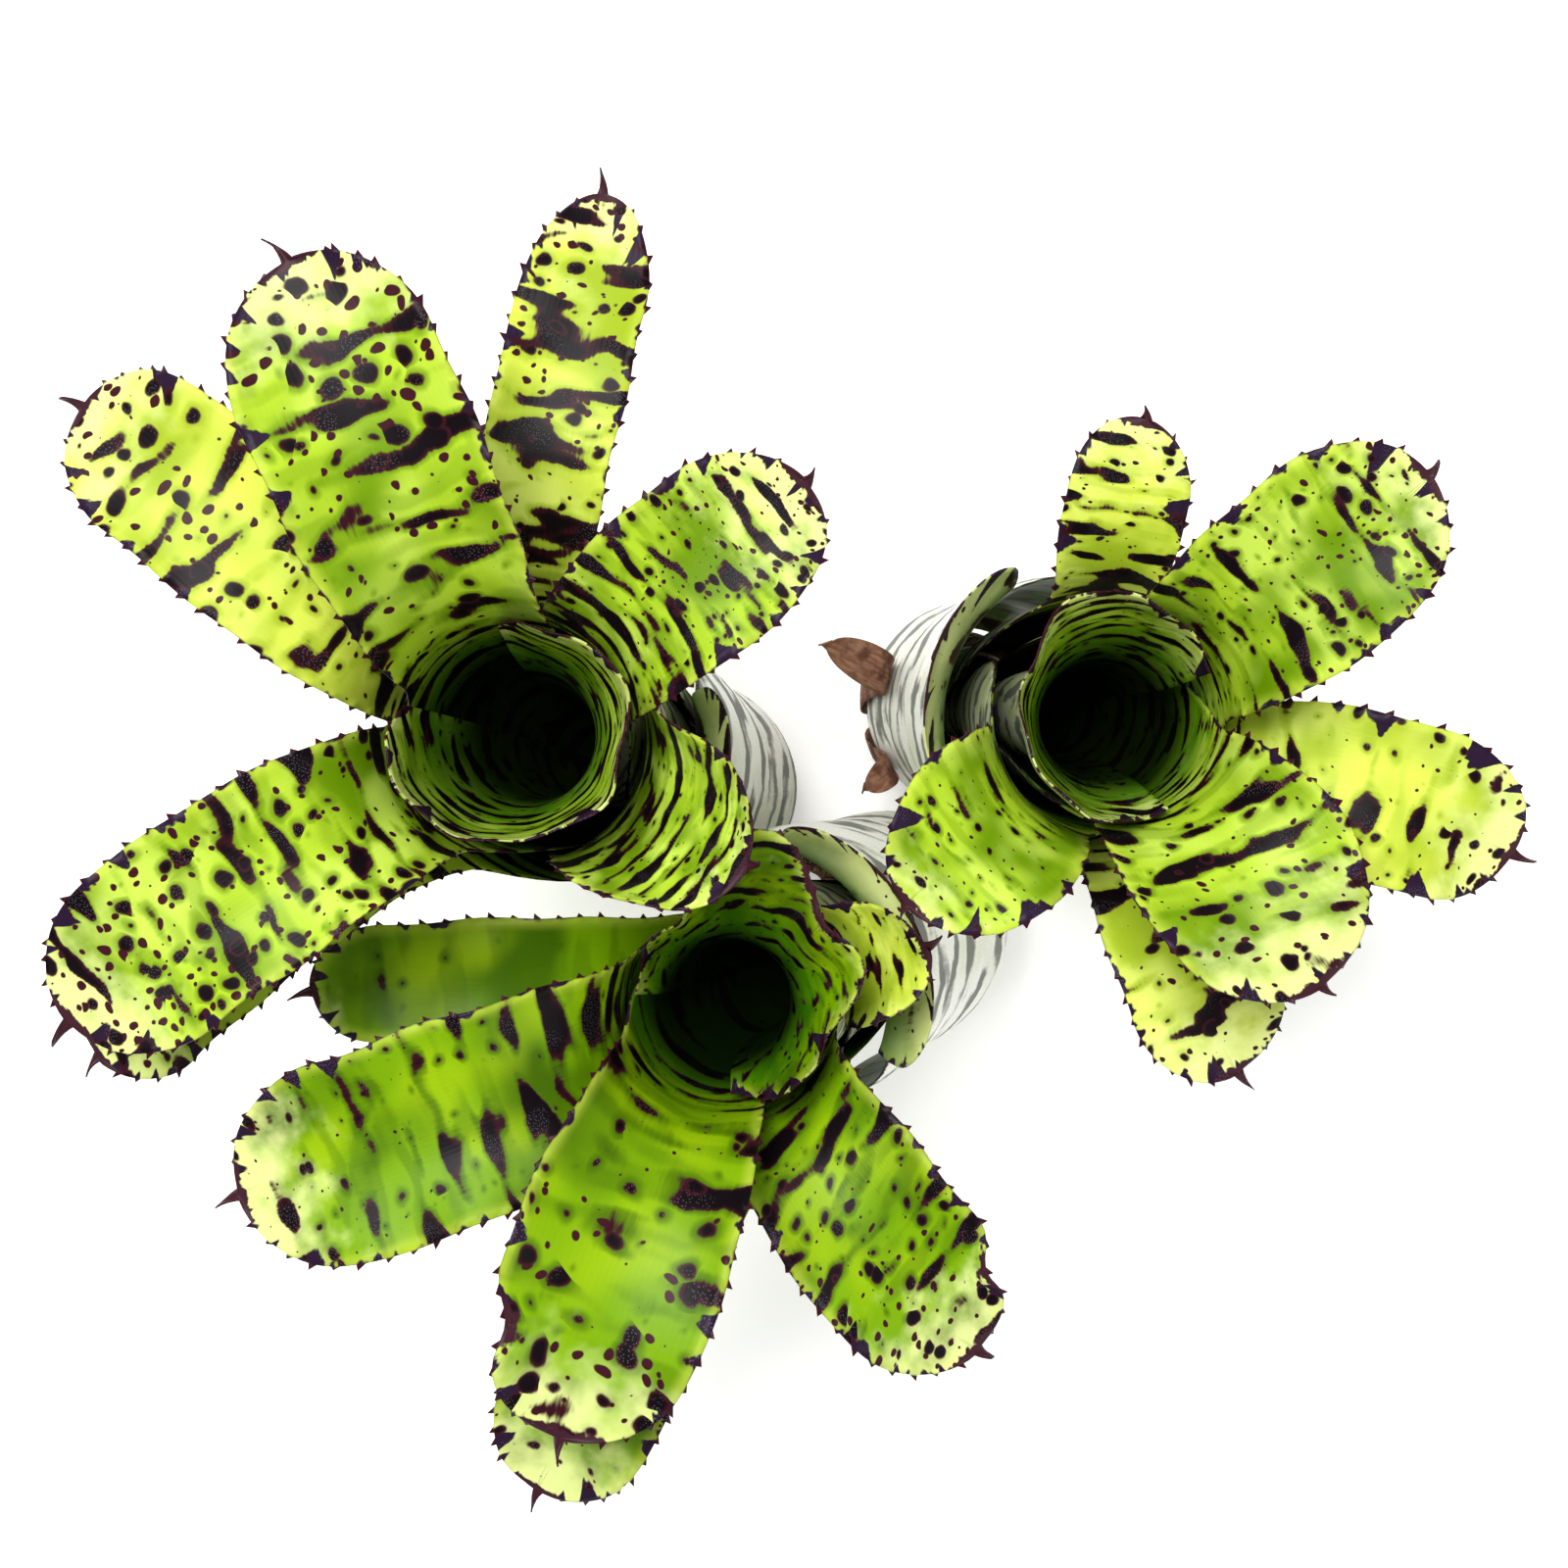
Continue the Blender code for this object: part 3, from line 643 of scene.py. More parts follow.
class HeartShape:
    """Places points of a heart leaf: s is a height, drawn out to the rim above CUP_HEIGHT."""

    def __init__(self, rosette, heart, number):
        self.rosette = rosette
        self.leaf = heart
        self.number = number

    def rim(self, turn):
        """Rim height at an angle from the leaf's middle: level, low at the back, notched."""
        heart = self.leaf
        back = heart.drop * smooth((abs(turn) - heart.level) / (heart.wrap - heart.level))
        notch = heart.notch * smooth(1.0 - abs(turn - heart.notch_at) / NOTCH_SPREAD)
        return heart.rim - back - notch

    def lip(self, turn):
        """How far the rim flares out on both sides of its notch."""
        turn -= self.leaf.notch_at
        left = self.leaf.left_lip * smooth(1.0 - abs(turn - LIP_PLACE) / LIP_SPREAD)
        right = self.leaf.right_lip * smooth(1.0 - abs(turn + LIP_PLACE) / LIP_SPREAD)
        return left + right

    def share(self, s):
        """How far up the flare toward the rim a row lies."""
        return max(s - CUP_HEIGHT, 0.0) / CUP_SPAN

    def height(self, s, turn):
        return mix(min(s, CUP_HEIGHT), self.rim(turn), self.share(s))

    def place(self, s, v):
        """Point of the cup at height s and share v of the wrap."""
        turn = v * self.leaf.wrap
        share = self.share(s)
        height = self.height(s, turn)
        wave = math.sin(math.radians(turn) * RIPPLES_A_TURN + self.number)
        ripple = RIPPLE_HEIGHT * wave * share ** 2
        narrow = CUP_NARROWING * math.sin(math.pi * smooth((s - CUP_FOOT) / CUP_REACH))
        radius = tube_radius(0, height) - narrow + self.lip(turn) * share ** 2 + ripple
        return (self.rosette.axis(height) + outward(self.leaf.bearing + turn) * radius) * MM

    def rows(self):
        base = sheath_base(0)
        rows = [mix(base, CUP_HEIGHT, step / CUP_ROWS) for step in range(CUP_ROWS)]
        return rows + [CUP_HEIGHT + CUP_SPAN * step / RIM_ROWS for step in range(RIM_ROWS + 1)]

    def margin_place(self, s, v):
        turn = v * self.leaf.wrap
        run = math.radians(turn) * tube_radius(0, CUP_HEIGHT)
        below = self.rim(turn) - self.height(s, turn) + self.lip(turn) * (1.0 - self.share(s) ** 2)
        return below * CUP_MARK_DEPTH, run * CUP_MARK_RUN, below

    def edge_distance(self, s, v, inner):
        """Distance in from the nearest edge, where the leaf thins."""
        run = math.radians(self.leaf.wrap) * tube_radius(0, CUP_HEIGHT)
        return min(inner, (1.0 - abs(v)) * run)

    def depth(self, s):
        return smooth((CUP_HEIGHT + CUP_SPAN - s) / CUP_SHADE_DEPTH)

    def dryness(self, s, v, to_tip):
        """Curled, purple rim on both sides of the notch."""
        turn = v * self.leaf.wrap - self.leaf.notch_at
        near = smooth(CURL_SPREAD - abs(turn) / NOTCH_SPREAD)
        return near * smooth(1.0 - to_tip / CURL_DEPTH)

    def habits(self, s, v):
        return self.leaf.bands, CUP_SPOTS

    def pattern_place(self, s, v):
        turn = v * self.leaf.wrap
        across = math.radians(turn) * tube_radius(0, CUP_HEIGHT)
        along = self.height(s, turn) + self.lip(turn) * self.share(s) ** 2
        return across * self.leaf.grain, along * self.leaf.tight + across * self.leaf.slant


def draw_flat(mesh, rows, columns, tipped):
    """Grid whose x is the row's place along the leaf and whose y is the share of half width."""
    bmesh.ops.create_grid(mesh, x_segments=len(rows) - 1, y_segments=columns, size=1.0)
    last = len(rows) - 1
    for vert in mesh.verts:
        row = round((vert.co.x + 1.0) * 0.5 * last)
        share = 0.0 if tipped and row == last else vert.co.y
        vert.co = Vector((rows[row], share, 0.0))
    bmesh.ops.remove_doubles(mesh, verts=mesh.verts, dist=0.00001)


class LeafLayers:
    """What the finishes read on a leaf: its own millimetres, its margin and its habit."""

    def __init__(self, mesh):
        self.place = mesh.verts.layers.float_vector.new("leaf_place")
        self.margin = mesh.verts.layers.float_vector.new("leaf_margin")
        self.habit = mesh.verts.layers.float_color.new("leaf_habit")
        self.weight = mesh.verts.layers.deform.verify()


def fill_layers(mesh, layers, shape):
    """Write each vertex's pattern place, margin place, habit and thickness, then bend it."""
    thin = settings().margin
    apart = shape.number * PATTERN_SHIFT
    for vert in mesh.verts:
        s, v = vert.co.x, vert.co.y
        across, along = shape.pattern_place(s, v)
        inner, run, to_tip = shape.margin_place(s, v)
        vert[layers.place] = Vector((across + apart, along + apart, apart))
        run += apart + SIDE_SHIFT * math.copysign(1.0, v)
        vert[layers.margin] = Vector((inner, run, to_tip + shape.leaf.fresh))
        bands, spots = shape.habits(s, v)
        dryness = shape.dryness(s, v, to_tip)
        vert[layers.habit] = Vector((bands, spots, shape.depth(s), dryness))
        edge = shape.edge_distance(s, v, inner)
        vert[layers.weight][0] = mix(thin, 1.0, smooth(edge / THIN_WITHIN))
        vert.co = shape.place(s, v)


def margin_edges(mesh, layers, wanted):
    """Open edges where teeth may stand, in order along the margin."""
    found = [edge for edge in mesh.edges if edge.is_boundary and wanted(edge)]
    return sorted(found, key=lambda edge: sum(vert[layers.margin].y for vert in edge.verts))


def add_tooth(mesh, layers, edge, length):
    """Draw one margin edge out to a hooked point in the plane of the blade."""
    face = edge.link_faces[0]
    first, second = (vert.co.copy() for vert in edge.verts)
    ahead = edge.verts[0][layers.margin].y < edge.verts[1][layers.margin].y
    forward = (second - first).normalized() * (1.0 if ahead else -1.0)
    middle = (first + second) * 0.5
    away = forward.cross(face.normal).normalized()
    if away.dot(middle - face.calc_center_median()) < 0.0:
        away.negate()
    drawn = bmesh.ops.extrude_edge_only(mesh, edges=[edge])["geom"]
    ends = [item for item in drawn if isinstance(item, bmesh.types.BMVert)]
    apex = middle + away * length + forward * length * TOOTH_LEAN
    for vert in ends:
        vert[layers.margin].x = -length / MM
        vert[layers.weight][0] = TOOTH_POINT
    bmesh.ops.pointmerge(mesh, verts=ends, merge_co=apex)


def add_teeth(mesh, layers, wanted):
    """Teeth along the margin, one each tooth spacing, unequal as grown ones are."""
    sizes = settings()
    mesh.normal_update()
    travelled = 0.0
    chosen = []
    for edge in margin_edges(mesh, layers, wanted):
        travelled += edge.calc_length()
        if travelled >= sizes.tooth_spacing:
            travelled = 0.0
            chosen.append(edge)
    for number, edge in enumerate(chosen):
        uneven = TOOTH_UNEVENNESS * (math.sin(TOOTH_RHYTHM * number) - 1.0)
        add_tooth(mesh, layers, edge, sizes.tooth_length * (1.0 + uneven))


def face_up(mesh, direction):
    """Turn all faces so that the leaf's upper side is their front."""
    bmesh.ops.recalc_face_normals(mesh, faces=mesh.faces)
    mesh.normal_update()
    total = sum(direction(face.calc_center_median()).dot(face.normal) for face in mesh.faces)
    if total < 0.0:
        bmesh.ops.reverse_faces(mesh, faces=mesh.faces)


def link_piece(name, mesh, finishes, nodes):
    """Make an object of a finished bmesh, with its finishes, on the one body."""
    data = bpy.data.meshes.new(name)
    for face in mesh.faces:
        face.smooth = True
    mesh.to_mesh(data)
    mesh.free()
    for finish in finishes:
        data.materials.append(finish)
    piece = bpy.data.objects.new(name, data)
    bpy.context.scene.collection.objects.link(piece)
    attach(piece, "root")
    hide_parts(*nodes)
    return piece


def thicken(piece):
    """Give a sheet its tapering thickness; its lower side takes the second finish."""
    piece.vertex_groups.new(name="thickness")
    sheet = piece.modifiers.new("Thickness", "SOLIDIFY")
    sheet.thickness = settings().thickness
    sheet.offset = 0.0
    sheet.vertex_group = "thickness"
    sheet.material_offset = 1
    sheet.use_quality_normals = True


def build_leaf(rosette, leaf, number):
    """One leaf from sheath to spine, standing in for its solid."""
    shape = LeafShape(rosette, leaf, number)
    mesh = bmesh.new()
    columns = 2 * max(int(leaf.width * COLUMNS_A_MM), 4)
    draw_flat(mesh, shape.rows(), columns, tipped=True)
    layers = LeafLayers(mesh)
    fill_layers(mesh, layers, shape)
    middle_line = [(shape.frame(s)[0] * MM, shape.frame(s)[2]) for s in shape.rows()[::4]]
    face_up(mesh, lambda point: min(
        middle_line, key=lambda item: (item[0] - point).length_squared)[1])
    if leaf.toothed:
        add_teeth(mesh, layers, lambda edge: all(
            TEETH_OFF_TIP < vert[layers.margin].z - leaf.fresh < shape.length - TEETH_OFF_TUBE
            for vert in edge.verts))
    upper, lower = SIDES[leaf.finish]
    finishes = [finish(upper), finish(lower)]
    piece = link_piece(leaf.name + "_fine", mesh, finishes, [leaf.name])
    thicken(piece)
    return piece


def build_heart(rosette, heart, number):
    """The rolled innermost leaf, its rim toothed and its lips flared."""
    shape = HeartShape(rosette, heart, number)
    mesh = bmesh.new()
    draw_flat(mesh, shape.rows(), CUP_COLUMNS, tipped=False)
    layers = LeafLayers(mesh)
    fill_layers(mesh, layers, shape)
    face_up(mesh, lambda point: rosette.axis(point.z / MM) * MM - point)
    top = heart.rim - heart.drop - heart.notch - 1.0
    add_teeth(mesh, layers, lambda edge: all(
        vert[layers.margin].x < RIM_BAND and vert.co.z > top * MM for vert in edge.verts))
    finishes = [finish(heart.finish), finish("under")]
    piece = link_piece(heart.name + "_fine", mesh, finishes, [heart.name])
    thicken(piece)
    return piece


def stem_radius(height):
    """The stem fills the ring of sheath bases at each height."""
    layer = OUTER_LAYER - (height - LOWEST_SHEATH) / SHEATH_STEP
    ring = TUBE_RADII[0] + layer * LAYER_SPACING
    return ring * (1.0 - STEM_CLEARANCE_SHARE) - STEM_CLEARANCE


def foot_radius(height):
    """Radius of the bark between the foot's rounded edge and the lowest sheath."""
    share = (height - STEM_FOOT_ROUND) / (LOWEST_SHEATH - STEM_FOOT_ROUND)
    return mix(STEM_FOOT_RADIUS + STEM_FOOT_FLARE, stem_radius(LOWEST_SHEATH), share)


def build_stem(name, rosette):
    """Corky stem turned from a profile with a leaf scar at each sheath, leaned along its tube."""
    top = sheath_base(0)
    profile = [(0.0, 0.0), (STEM_FOOT_RADIUS * FOOT_FLAT_SHARE, 0.0), (STEM_FOOT_RADIUS, 0.0)]
    for step in range(1, FOOT_STEPS + 1):
        angle = 0.5 * math.pi * step / FOOT_STEPS
        profile.append((STEM_FOOT_RADIUS + STEM_FOOT_FLARE * math.sin(angle),
                        STEM_FOOT_ROUND * (1.0 - math.cos(angle))))
    for step in range(1, STEM_ROWS):
        height = mix(STEM_FOOT_ROUND, top, step / STEM_ROWS)
        radius = foot_radius(height) if height < LOWEST_SHEATH else stem_radius(height)
        scar = SCAR_DEPTH * abs(math.sin(math.pi * height / SHEATH_STEP * 2.0))
        profile.append((radius - scar, height))
    profile.append((0.0, top + 1.0))
    mesh = bmesh.new()
    verts = [mesh.verts.new((x * MM, 0.0, z * MM)) for x, z in profile]
    edges = [mesh.edges.new(pair) for pair in zip(verts, verts[1:])]
    bmesh.ops.spin(mesh, geom=verts + edges, cent=(0.0, 0.0, 0.0), axis=(0.0, 0.0, 1.0),
                   angle=math.tau, steps=STEM_SIDES, use_merge=True)
    bmesh.ops.remove_doubles(mesh, verts=mesh.verts, dist=0.001 * MM)
    for vert in mesh.verts:
        grain = noise.noise(vert.co * BARK_GRAIN) if vert.co.z > 0.3 * MM else 0.0
        rough = BARK_ROUGHNESS * grain
        flat = Vector((vert.co.x, vert.co.y, 0.0)).normalized()
        vert.co += flat * (rough - 0.15 * abs(rough)) * MM
        vert.co += rosette.axis(vert.co.z / MM) * MM - Vector((0.0, 0.0, vert.co.z))
    bmesh.ops.recalc_face_normals(mesh, faces=mesh.faces)
    return link_piece(name + "_fine", mesh, [finish("bark")], [name])


def stolon_end(rosette, way):
    """Middle of the stolon's end face, just off the leaning bark at every height it covers."""
    middle = rosette.axis(STOLON_HEIGHT)
    half = STOLON_RADIUS * (1.0 + STOLON_SWELL)
    reach = 0.0
    for height in (STEM_FOOT_ROUND, STOLON_HEIGHT, STOLON_HEIGHT + half):
        lean = (rosette.axis(height) - middle).dot(way)
        reach = max(reach, foot_radius(height) + lean)
    return middle + way * (reach + STOLON_GAP)


def build_stolon(name, start, end):
    """Runner between two stems, ringed where its scales were, lying where its solid does."""
    away = (end.foot - start.foot).normalized()
    near = stolon_end(start, away)
    far = stolon_end(end, -away)
    across = away.cross(Vector((0.0, 0.0, 1.0))).normalized()
    mesh = bmesh.new()
    bmesh.ops.create_cone(mesh, cap_ends=True, segments=STOLON_SIDES, radius1=STOLON_RADIUS,
                          radius2=STOLON_RADIUS, depth=1.0)
    long_edges = [edge for edge in mesh.edges if edge.calc_length() > 0.99
                  and abs(edge.verts[0].co.z - edge.verts[1].co.z) > 0.5]
    bmesh.ops.subdivide_edges(mesh, edges=long_edges, cuts=STOLON_RINGS, use_grid_fill=True)
    for vert in mesh.verts:
        share = min(max(vert.co.z + 0.5, 0.0), 1.0)
        scales = STOLON_SWELL * math.cos(math.tau * share * STOLON_SCALES)
        girth = 1.0 + STOLON_SWELL * math.cos(math.tau * share) - max(scales, 0.0)
        middle = near.lerp(far, share)
        middle.z -= STOLON_DIP * math.sin(math.pi * share)
        arm = across * vert.co.x + Vector((0.0, 0.0, vert.co.y))
        vert.co = (middle + arm * girth) * MM
    bmesh.ops.recalc_face_normals(mesh, faces=mesh.faces)
    return link_piece(name + "_fine", mesh, [finish("bark")], [name])


MATH = "ShaderNodeMath"
VECTOR = "ShaderNodeVectorMath"
NOISE = "ShaderNodeTexNoise"
VORONOI = "ShaderNodeTexVoronoi"
RANGE = "ShaderNodeMapRange"
MIX = "ShaderNodeMix"
BUMP = "ShaderNodeBump"
ATTRIBUTE = "ShaderNodeAttribute"
SPLIT_VECTOR = "ShaderNodeSeparateXYZ"
SPLIT_COLOUR = "ShaderNodeSeparateColor"
COORDINATES = "ShaderNodeTexCoord"
SMOOTHSTEP = {"interpolation_type": "SMOOTHSTEP"}
COLOURS = {"data_type": "RGBA"}
FLAT_CELLS = {"voronoi_dimensions": "2D"}
CELL_EDGES = {"feature": "DISTANCE_TO_EDGE"}
ALONG_A_LINE = {"noise_dimensions": "1D"}
TIMES = {"operation": "MULTIPLY"}
TIMES_PLUS = {"operation": "MULTIPLY_ADD"}
MINUS = {"operation": "SUBTRACT"}
PLUS = {"operation": "ADD"}
LARGER = {"operation": "MAXIMUM"}
SMALLER = {"operation": "MINIMUM"}
SINE = {"operation": "SINE"}
FACTOR, FIRST, SECOND, MIXED = 0, 6, 7, 2

# Real sizes that the leaf finishes follow, in millimetres or cycles a millimetre
BAND_SPACING = 9.0
BAND_STRETCH = (0.07, 0.17, 1.0)
VEIN_SPACING = 0.9
FIBRE_STRETCH = (1.4, 0.22, 1.0)
LARGE_SPOT_CELLS = (0.18, 0.20, 1.0)
SMALL_SPOT_CELLS = (0.36, 0.38, 1.0)
MARK_WANDER = (7.0, 3.5, 0.0)
STRIPE_WANDER = (12.0, 9.0, 0.0)
STRIPE_STRETCH = (1.1, 0.8, 1.0)
WEDGE_REACH = 15.0
BLEACH_REACH = 26.0
SPECK_CELLS = 1.9
SCALE_CELLS = 2.2
RELIEF_DEPTH = 0.12 * MM

# How far fibres feather a mark's edge, and how dark the painted shade makes a tank and an old
# sheath's inside
FEATHERING = 0.06
TANK_PAINTED_SHADE = 0.96
SHEATH_INSIDE_PAINTED_SHADE = 0.6

# Heights at which a mark's halo, edge and core start and are full, and a halo's strength
BAND_HALO = (0.50, 0.60, 0.8)
BAND_EDGE = (0.590, 0.626)
BAND_CORE = (0.606, 0.68)
SPOT_HALO = (-0.24, 0.0, 0.75)
SPOT_EDGE = (-0.02, 0.07)
SPOT_CORE = (0.03, 0.16)
SPECKLE_EDGE = (0.0, 0.07)


def add(tree, kind, options=None, inputs=None):
    """Add a node, set its options, link or set its inputs, and return its outputs."""
    node = tree.nodes.new(kind)
    for name, value in (options or {}).items():
        setattr(node, name, value)
    if not isinstance(inputs, dict):
        inputs = dict(enumerate(inputs or ()))
    for name, value in inputs.items():
        if isinstance(value, bpy.types.NodeSocket):
            tree.links.new(value, node.inputs[name])
        else:
            node.inputs[name].default_value = value
    return node.outputs


def ramp(value, low, high, most=1.0, least=0.0):
    """Settings of a mask that goes from its least at the low value to its most at the high."""
    return {"Value": value, "From Min": low, "From Max": high, "To Min": least, "To Max": most}


def new_finish(name, roughness, ior):
    """Empty finish with one Principled shader."""
    finished = bpy.data.materials.new(name)
    finished.use_nodes = True
    tree = finished.node_tree
    shader = tree.nodes["Principled BSDF"]
    shader.inputs["Roughness"].default_value = roughness
    shader.inputs["IOR"].default_value = ior
    shader.inputs["Specular IOR Level"].default_value = 0.12
    shader.inputs["Metallic"].default_value = 0.0
    return finished, tree, shader


def layer_colours(tree, ground, layers):
    """Lay colours over each other, each through its mask, and return the top one."""
    for mask, colour in layers:
        ground = add(tree, MIX, COLOURS, {
            FACTOR: mask, FIRST: ground, SECOND: (*colour, 1.0)})[MIXED]
    return ground


def lengthwise_streaks(tree, place):
    """Fibres along the leaf, about 0.7 mm apart, which feather the edges of the marks."""
    drawn = add(tree, VECTOR, TIMES, (place, FIBRE_STRETCH))[0]
    return add(tree, NOISE, None, {"Vector": drawn, "Scale": 1.0, "Detail": 2.0})["Fac"]


def band_field(tree, wander, streak, bands):
    """Height of the broken cross bands: the more bands a leaf has, the higher it lies."""
    drawn = add(tree, VECTOR, TIMES, (wander, BAND_STRETCH))[0]
    blotch = add(tree, NOISE, None, {"Vector": drawn, "Scale": 1.0, "Detail": 1.0})["Fac"]
    along = add(tree, SPLIT_VECTOR, None, (wander,))["Y"]
    turn = add(tree, MATH, TIMES, (along, math.tau / BAND_SPACING))[0]
    wave = add(tree, MATH, SINE, (turn,))[0]
    field = blotch
    for height, share in ((wave, 0.085), (streak, FEATHERING), (bands, 0.14)):
        field = add(tree, MATH, TIMES_PLUS, (height, share, field))[0]
    return add(tree, MATH, MINUS, (field, 0.096))[0]


def spot_field(tree, wander, streak, amount, cells, rare, size):
    """Round to oval spots in cells of a given size, some empty: over 0 inside a spot."""
    drawn = add(tree, VECTOR, TIMES, (wander, cells))[0]
    found = add(tree, VORONOI, FLAT_CELLS, {"Vector": drawn, "Scale": 1.0})
    chance = add(tree, SPLIT_COLOUR, None, (found["Color"],))[0]
    chance = add(tree, MATH, TIMES_PLUS, (amount, 0.6, chance))[0]
    radius = add(tree, MATH, MINUS, (chance, rare))[0]
    radius = add(tree, MATH, SMALLER, (radius, 0.7))[0]
    radius = add(tree, MATH, TIMES, (radius, size))[0]
    reach = add(tree, MATH, TIMES_PLUS, (streak, FEATHERING, found["Distance"]))[0]
    reach = add(tree, MATH, MINUS, (reach, 0.03))[0]
    return add(tree, MATH, MINUS, (radius, reach))[0]


def margin_wedges(tree, run, inner, to_tip, spots, streak):
    """Mask of the marks that reach in from the margin, deepest round the tip."""
    bumps = add(tree, NOISE, ALONG_A_LINE, {"W": run, "Scale": 0.20, "Detail": 2.0})["Fac"]
    near_tip = add(tree, RANGE, SMOOTHSTEP, ramp(to_tip, 48.0, 14.0, least=0.3))[0]
    marked = add(tree, RANGE, SMOOTHSTEP, ramp(spots, -0.6, 0.3))[0]
    reach = add(tree, MATH, MINUS, (bumps, 0.49))[0]
    for factor in (WEDGE_REACH, near_tip, marked):
        reach = add(tree, MATH, TIMES, (reach, factor))[0]
    reach = add(tree, MATH, TIMES_PLUS, (streak, 1.2, reach))[0]
    past = add(tree, MATH, MINUS, (reach, inner))[0]
    return add(tree, RANGE, SMOOTHSTEP, ramp(past, 0.45, 0.95))[0]


def leaf_finish(name, ground, deep, bright, painted_shade_strength):
    """Living bromeliad leaf: a waxy skin over green tissue, with scurf left on its marks.

    That gives saturated colour with a soft gloss, near-black bands with feathered, redder
    edges, purple wedges round a bleached tip, and white specks on the dark marks.
    """
    colours = bpy.context.scene.neoregelia_colours
    finished, tree, shader = new_finish(name, 0.42, 1.42)
    place = add(tree, ATTRIBUTE, {"attribute_name": "leaf_place"})["Vector"]
    margin = add(tree, ATTRIBUTE, {"attribute_name": "leaf_margin"})["Vector"]
    habit = add(tree, ATTRIBUTE, {"attribute_name": "leaf_habit"})
    inner, run, to_tip = add(tree, SPLIT_VECTOR, None, (margin,))
    bands, spots, depth = list(add(tree, SPLIT_COLOUR, None, (habit["Color"],)))[:3]
    withering = habit["Alpha"]

    # Marks: bands and two sizes of spots, in places that wander a little
    drift = add(tree, NOISE, None, {"Vector": place, "Scale": 0.10, "Detail": 2.0})["Color"]
    wander = add(tree, VECTOR, TIMES_PLUS, (drift, MARK_WANDER, place))[0]
    streak = lengthwise_streaks(tree, place)
    field = band_field(tree, wander, streak, bands)
    large = spot_field(tree, wander, streak, spots, LARGE_SPOT_CELLS, 0.80, 0.50)
    small = spot_field(tree, wander, streak, spots, SMALL_SPOT_CELLS, 1.0, 0.6)
    band, core, band_halo, spot, spot_core, spot_halo, speckle = [
        add(tree, RANGE, SMOOTHSTEP, ramp(height, *zone))[0] for height, zone in (
            (field, BAND_EDGE), (field, BAND_CORE), (field, BAND_HALO), (large, SPOT_EDGE),
            (large, SPOT_CORE), (large, SPOT_HALO), (small, SPECKLE_EDGE))]
    wedge = margin_wedges(tree, run, inner, to_tip, spots, streak)
    halo = add(tree, MATH, LARGER, (band_halo, spot_halo))[0]

    # Ground: deeper and brighter patches, marks of the underside showing through, faint
    # veins, a yellow hem, and a tip bleached in an uneven line
    patches = add(tree, NOISE, None, {"Vector": place, "Scale": 0.045, "Detail": 2.0})["Fac"]
    patches = add(tree, RANGE, SMOOTHSTEP, ramp(patches, 0.40, 0.66))[0]
    light = add(tree, NOISE, None, {"Vector": place, "Scale": 0.06, "Detail": 1.0})["Fac"]
    light = add(tree, RANGE, SMOOTHSTEP, ramp(light, 0.45, 0.7, 0.6))[0]
    turned = add(tree, VECTOR, TIMES_PLUS, (wander, (0.8, 1.3, 1.0), (57.0, 31.0, 0.0)))[0]
    through = band_field(tree, turned, streak, 0.6)
    through = add(tree, RANGE, SMOOTHSTEP, ramp(through, 0.5, 0.68, 0.42))[0]
    across = add(tree, SPLIT_VECTOR, None, (place,))["X"]
    veins = add(tree, MATH, TIMES, (across, math.tau / VEIN_SPACING))[0]
    veins = add(tree, MATH, SINE, (veins,))[0]
    vein_tone = add(tree, RANGE, None, ramp(veins, -1.0, 1.0, 0.03))[0]
    hem = add(tree, RANGE, SMOOTHSTEP, ramp(inner, 2.6, 0.2, 0.35))[0]
    tip_line = add(tree, NOISE, None, {"Vector": place, "Scale": 0.16, "Detail": 3.0})["Fac"]
    tip_line = add(tree, MATH, TIMES, (tip_line, BLEACH_REACH))[0]
    bleached = add(tree, MATH, MINUS, (tip_line, to_tip))[0]
    bleached = add(tree, RANGE, SMOOTHSTEP, ramp(bleached, -4.0, 12.0, 0.7))[0]
    # Painted shade: the upper walls of the tube turn the shade green as they go down
    shade = add(tree, RANGE, SMOOTHSTEP, ramp(depth, 0.02, 0.45, 0.75))[0]
    base = layer_colours(tree, (*ground, 1.0), [
        (patches, deep), (light, bright), (through, deep), (halo, deep), (vein_tone, deep),
        (hem, colours.yellow), (bleached, colours.pale), (shade, colours.shade)])

    # Over the ground: the marks, dried tissue at the tip, and the horn of teeth and spine
    torn = add(tree, NOISE, None, {"Vector": place, "Scale": 0.5, "Detail": 3.0})["Fac"]
    withered = add(tree, MATH, TIMES_PLUS, (torn, 1.4, withering))[0]
    dry = add(tree, RANGE, SMOOTHSTEP, ramp(withered, 1.1, 1.3))[0]
    horn = add(tree, RANGE, SMOOTHSTEP, ramp(inner, 0.12, -0.25))[0]
    base = layer_colours(tree, base, [
        (speckle, colours.maroon), (wedge, colours.wedge), (band, colours.maroon),
        (core, colours.band), (spot, colours.maroon), (spot_core, colours.band),
        (dry, colours.crest), (horn, colours.maroon)])
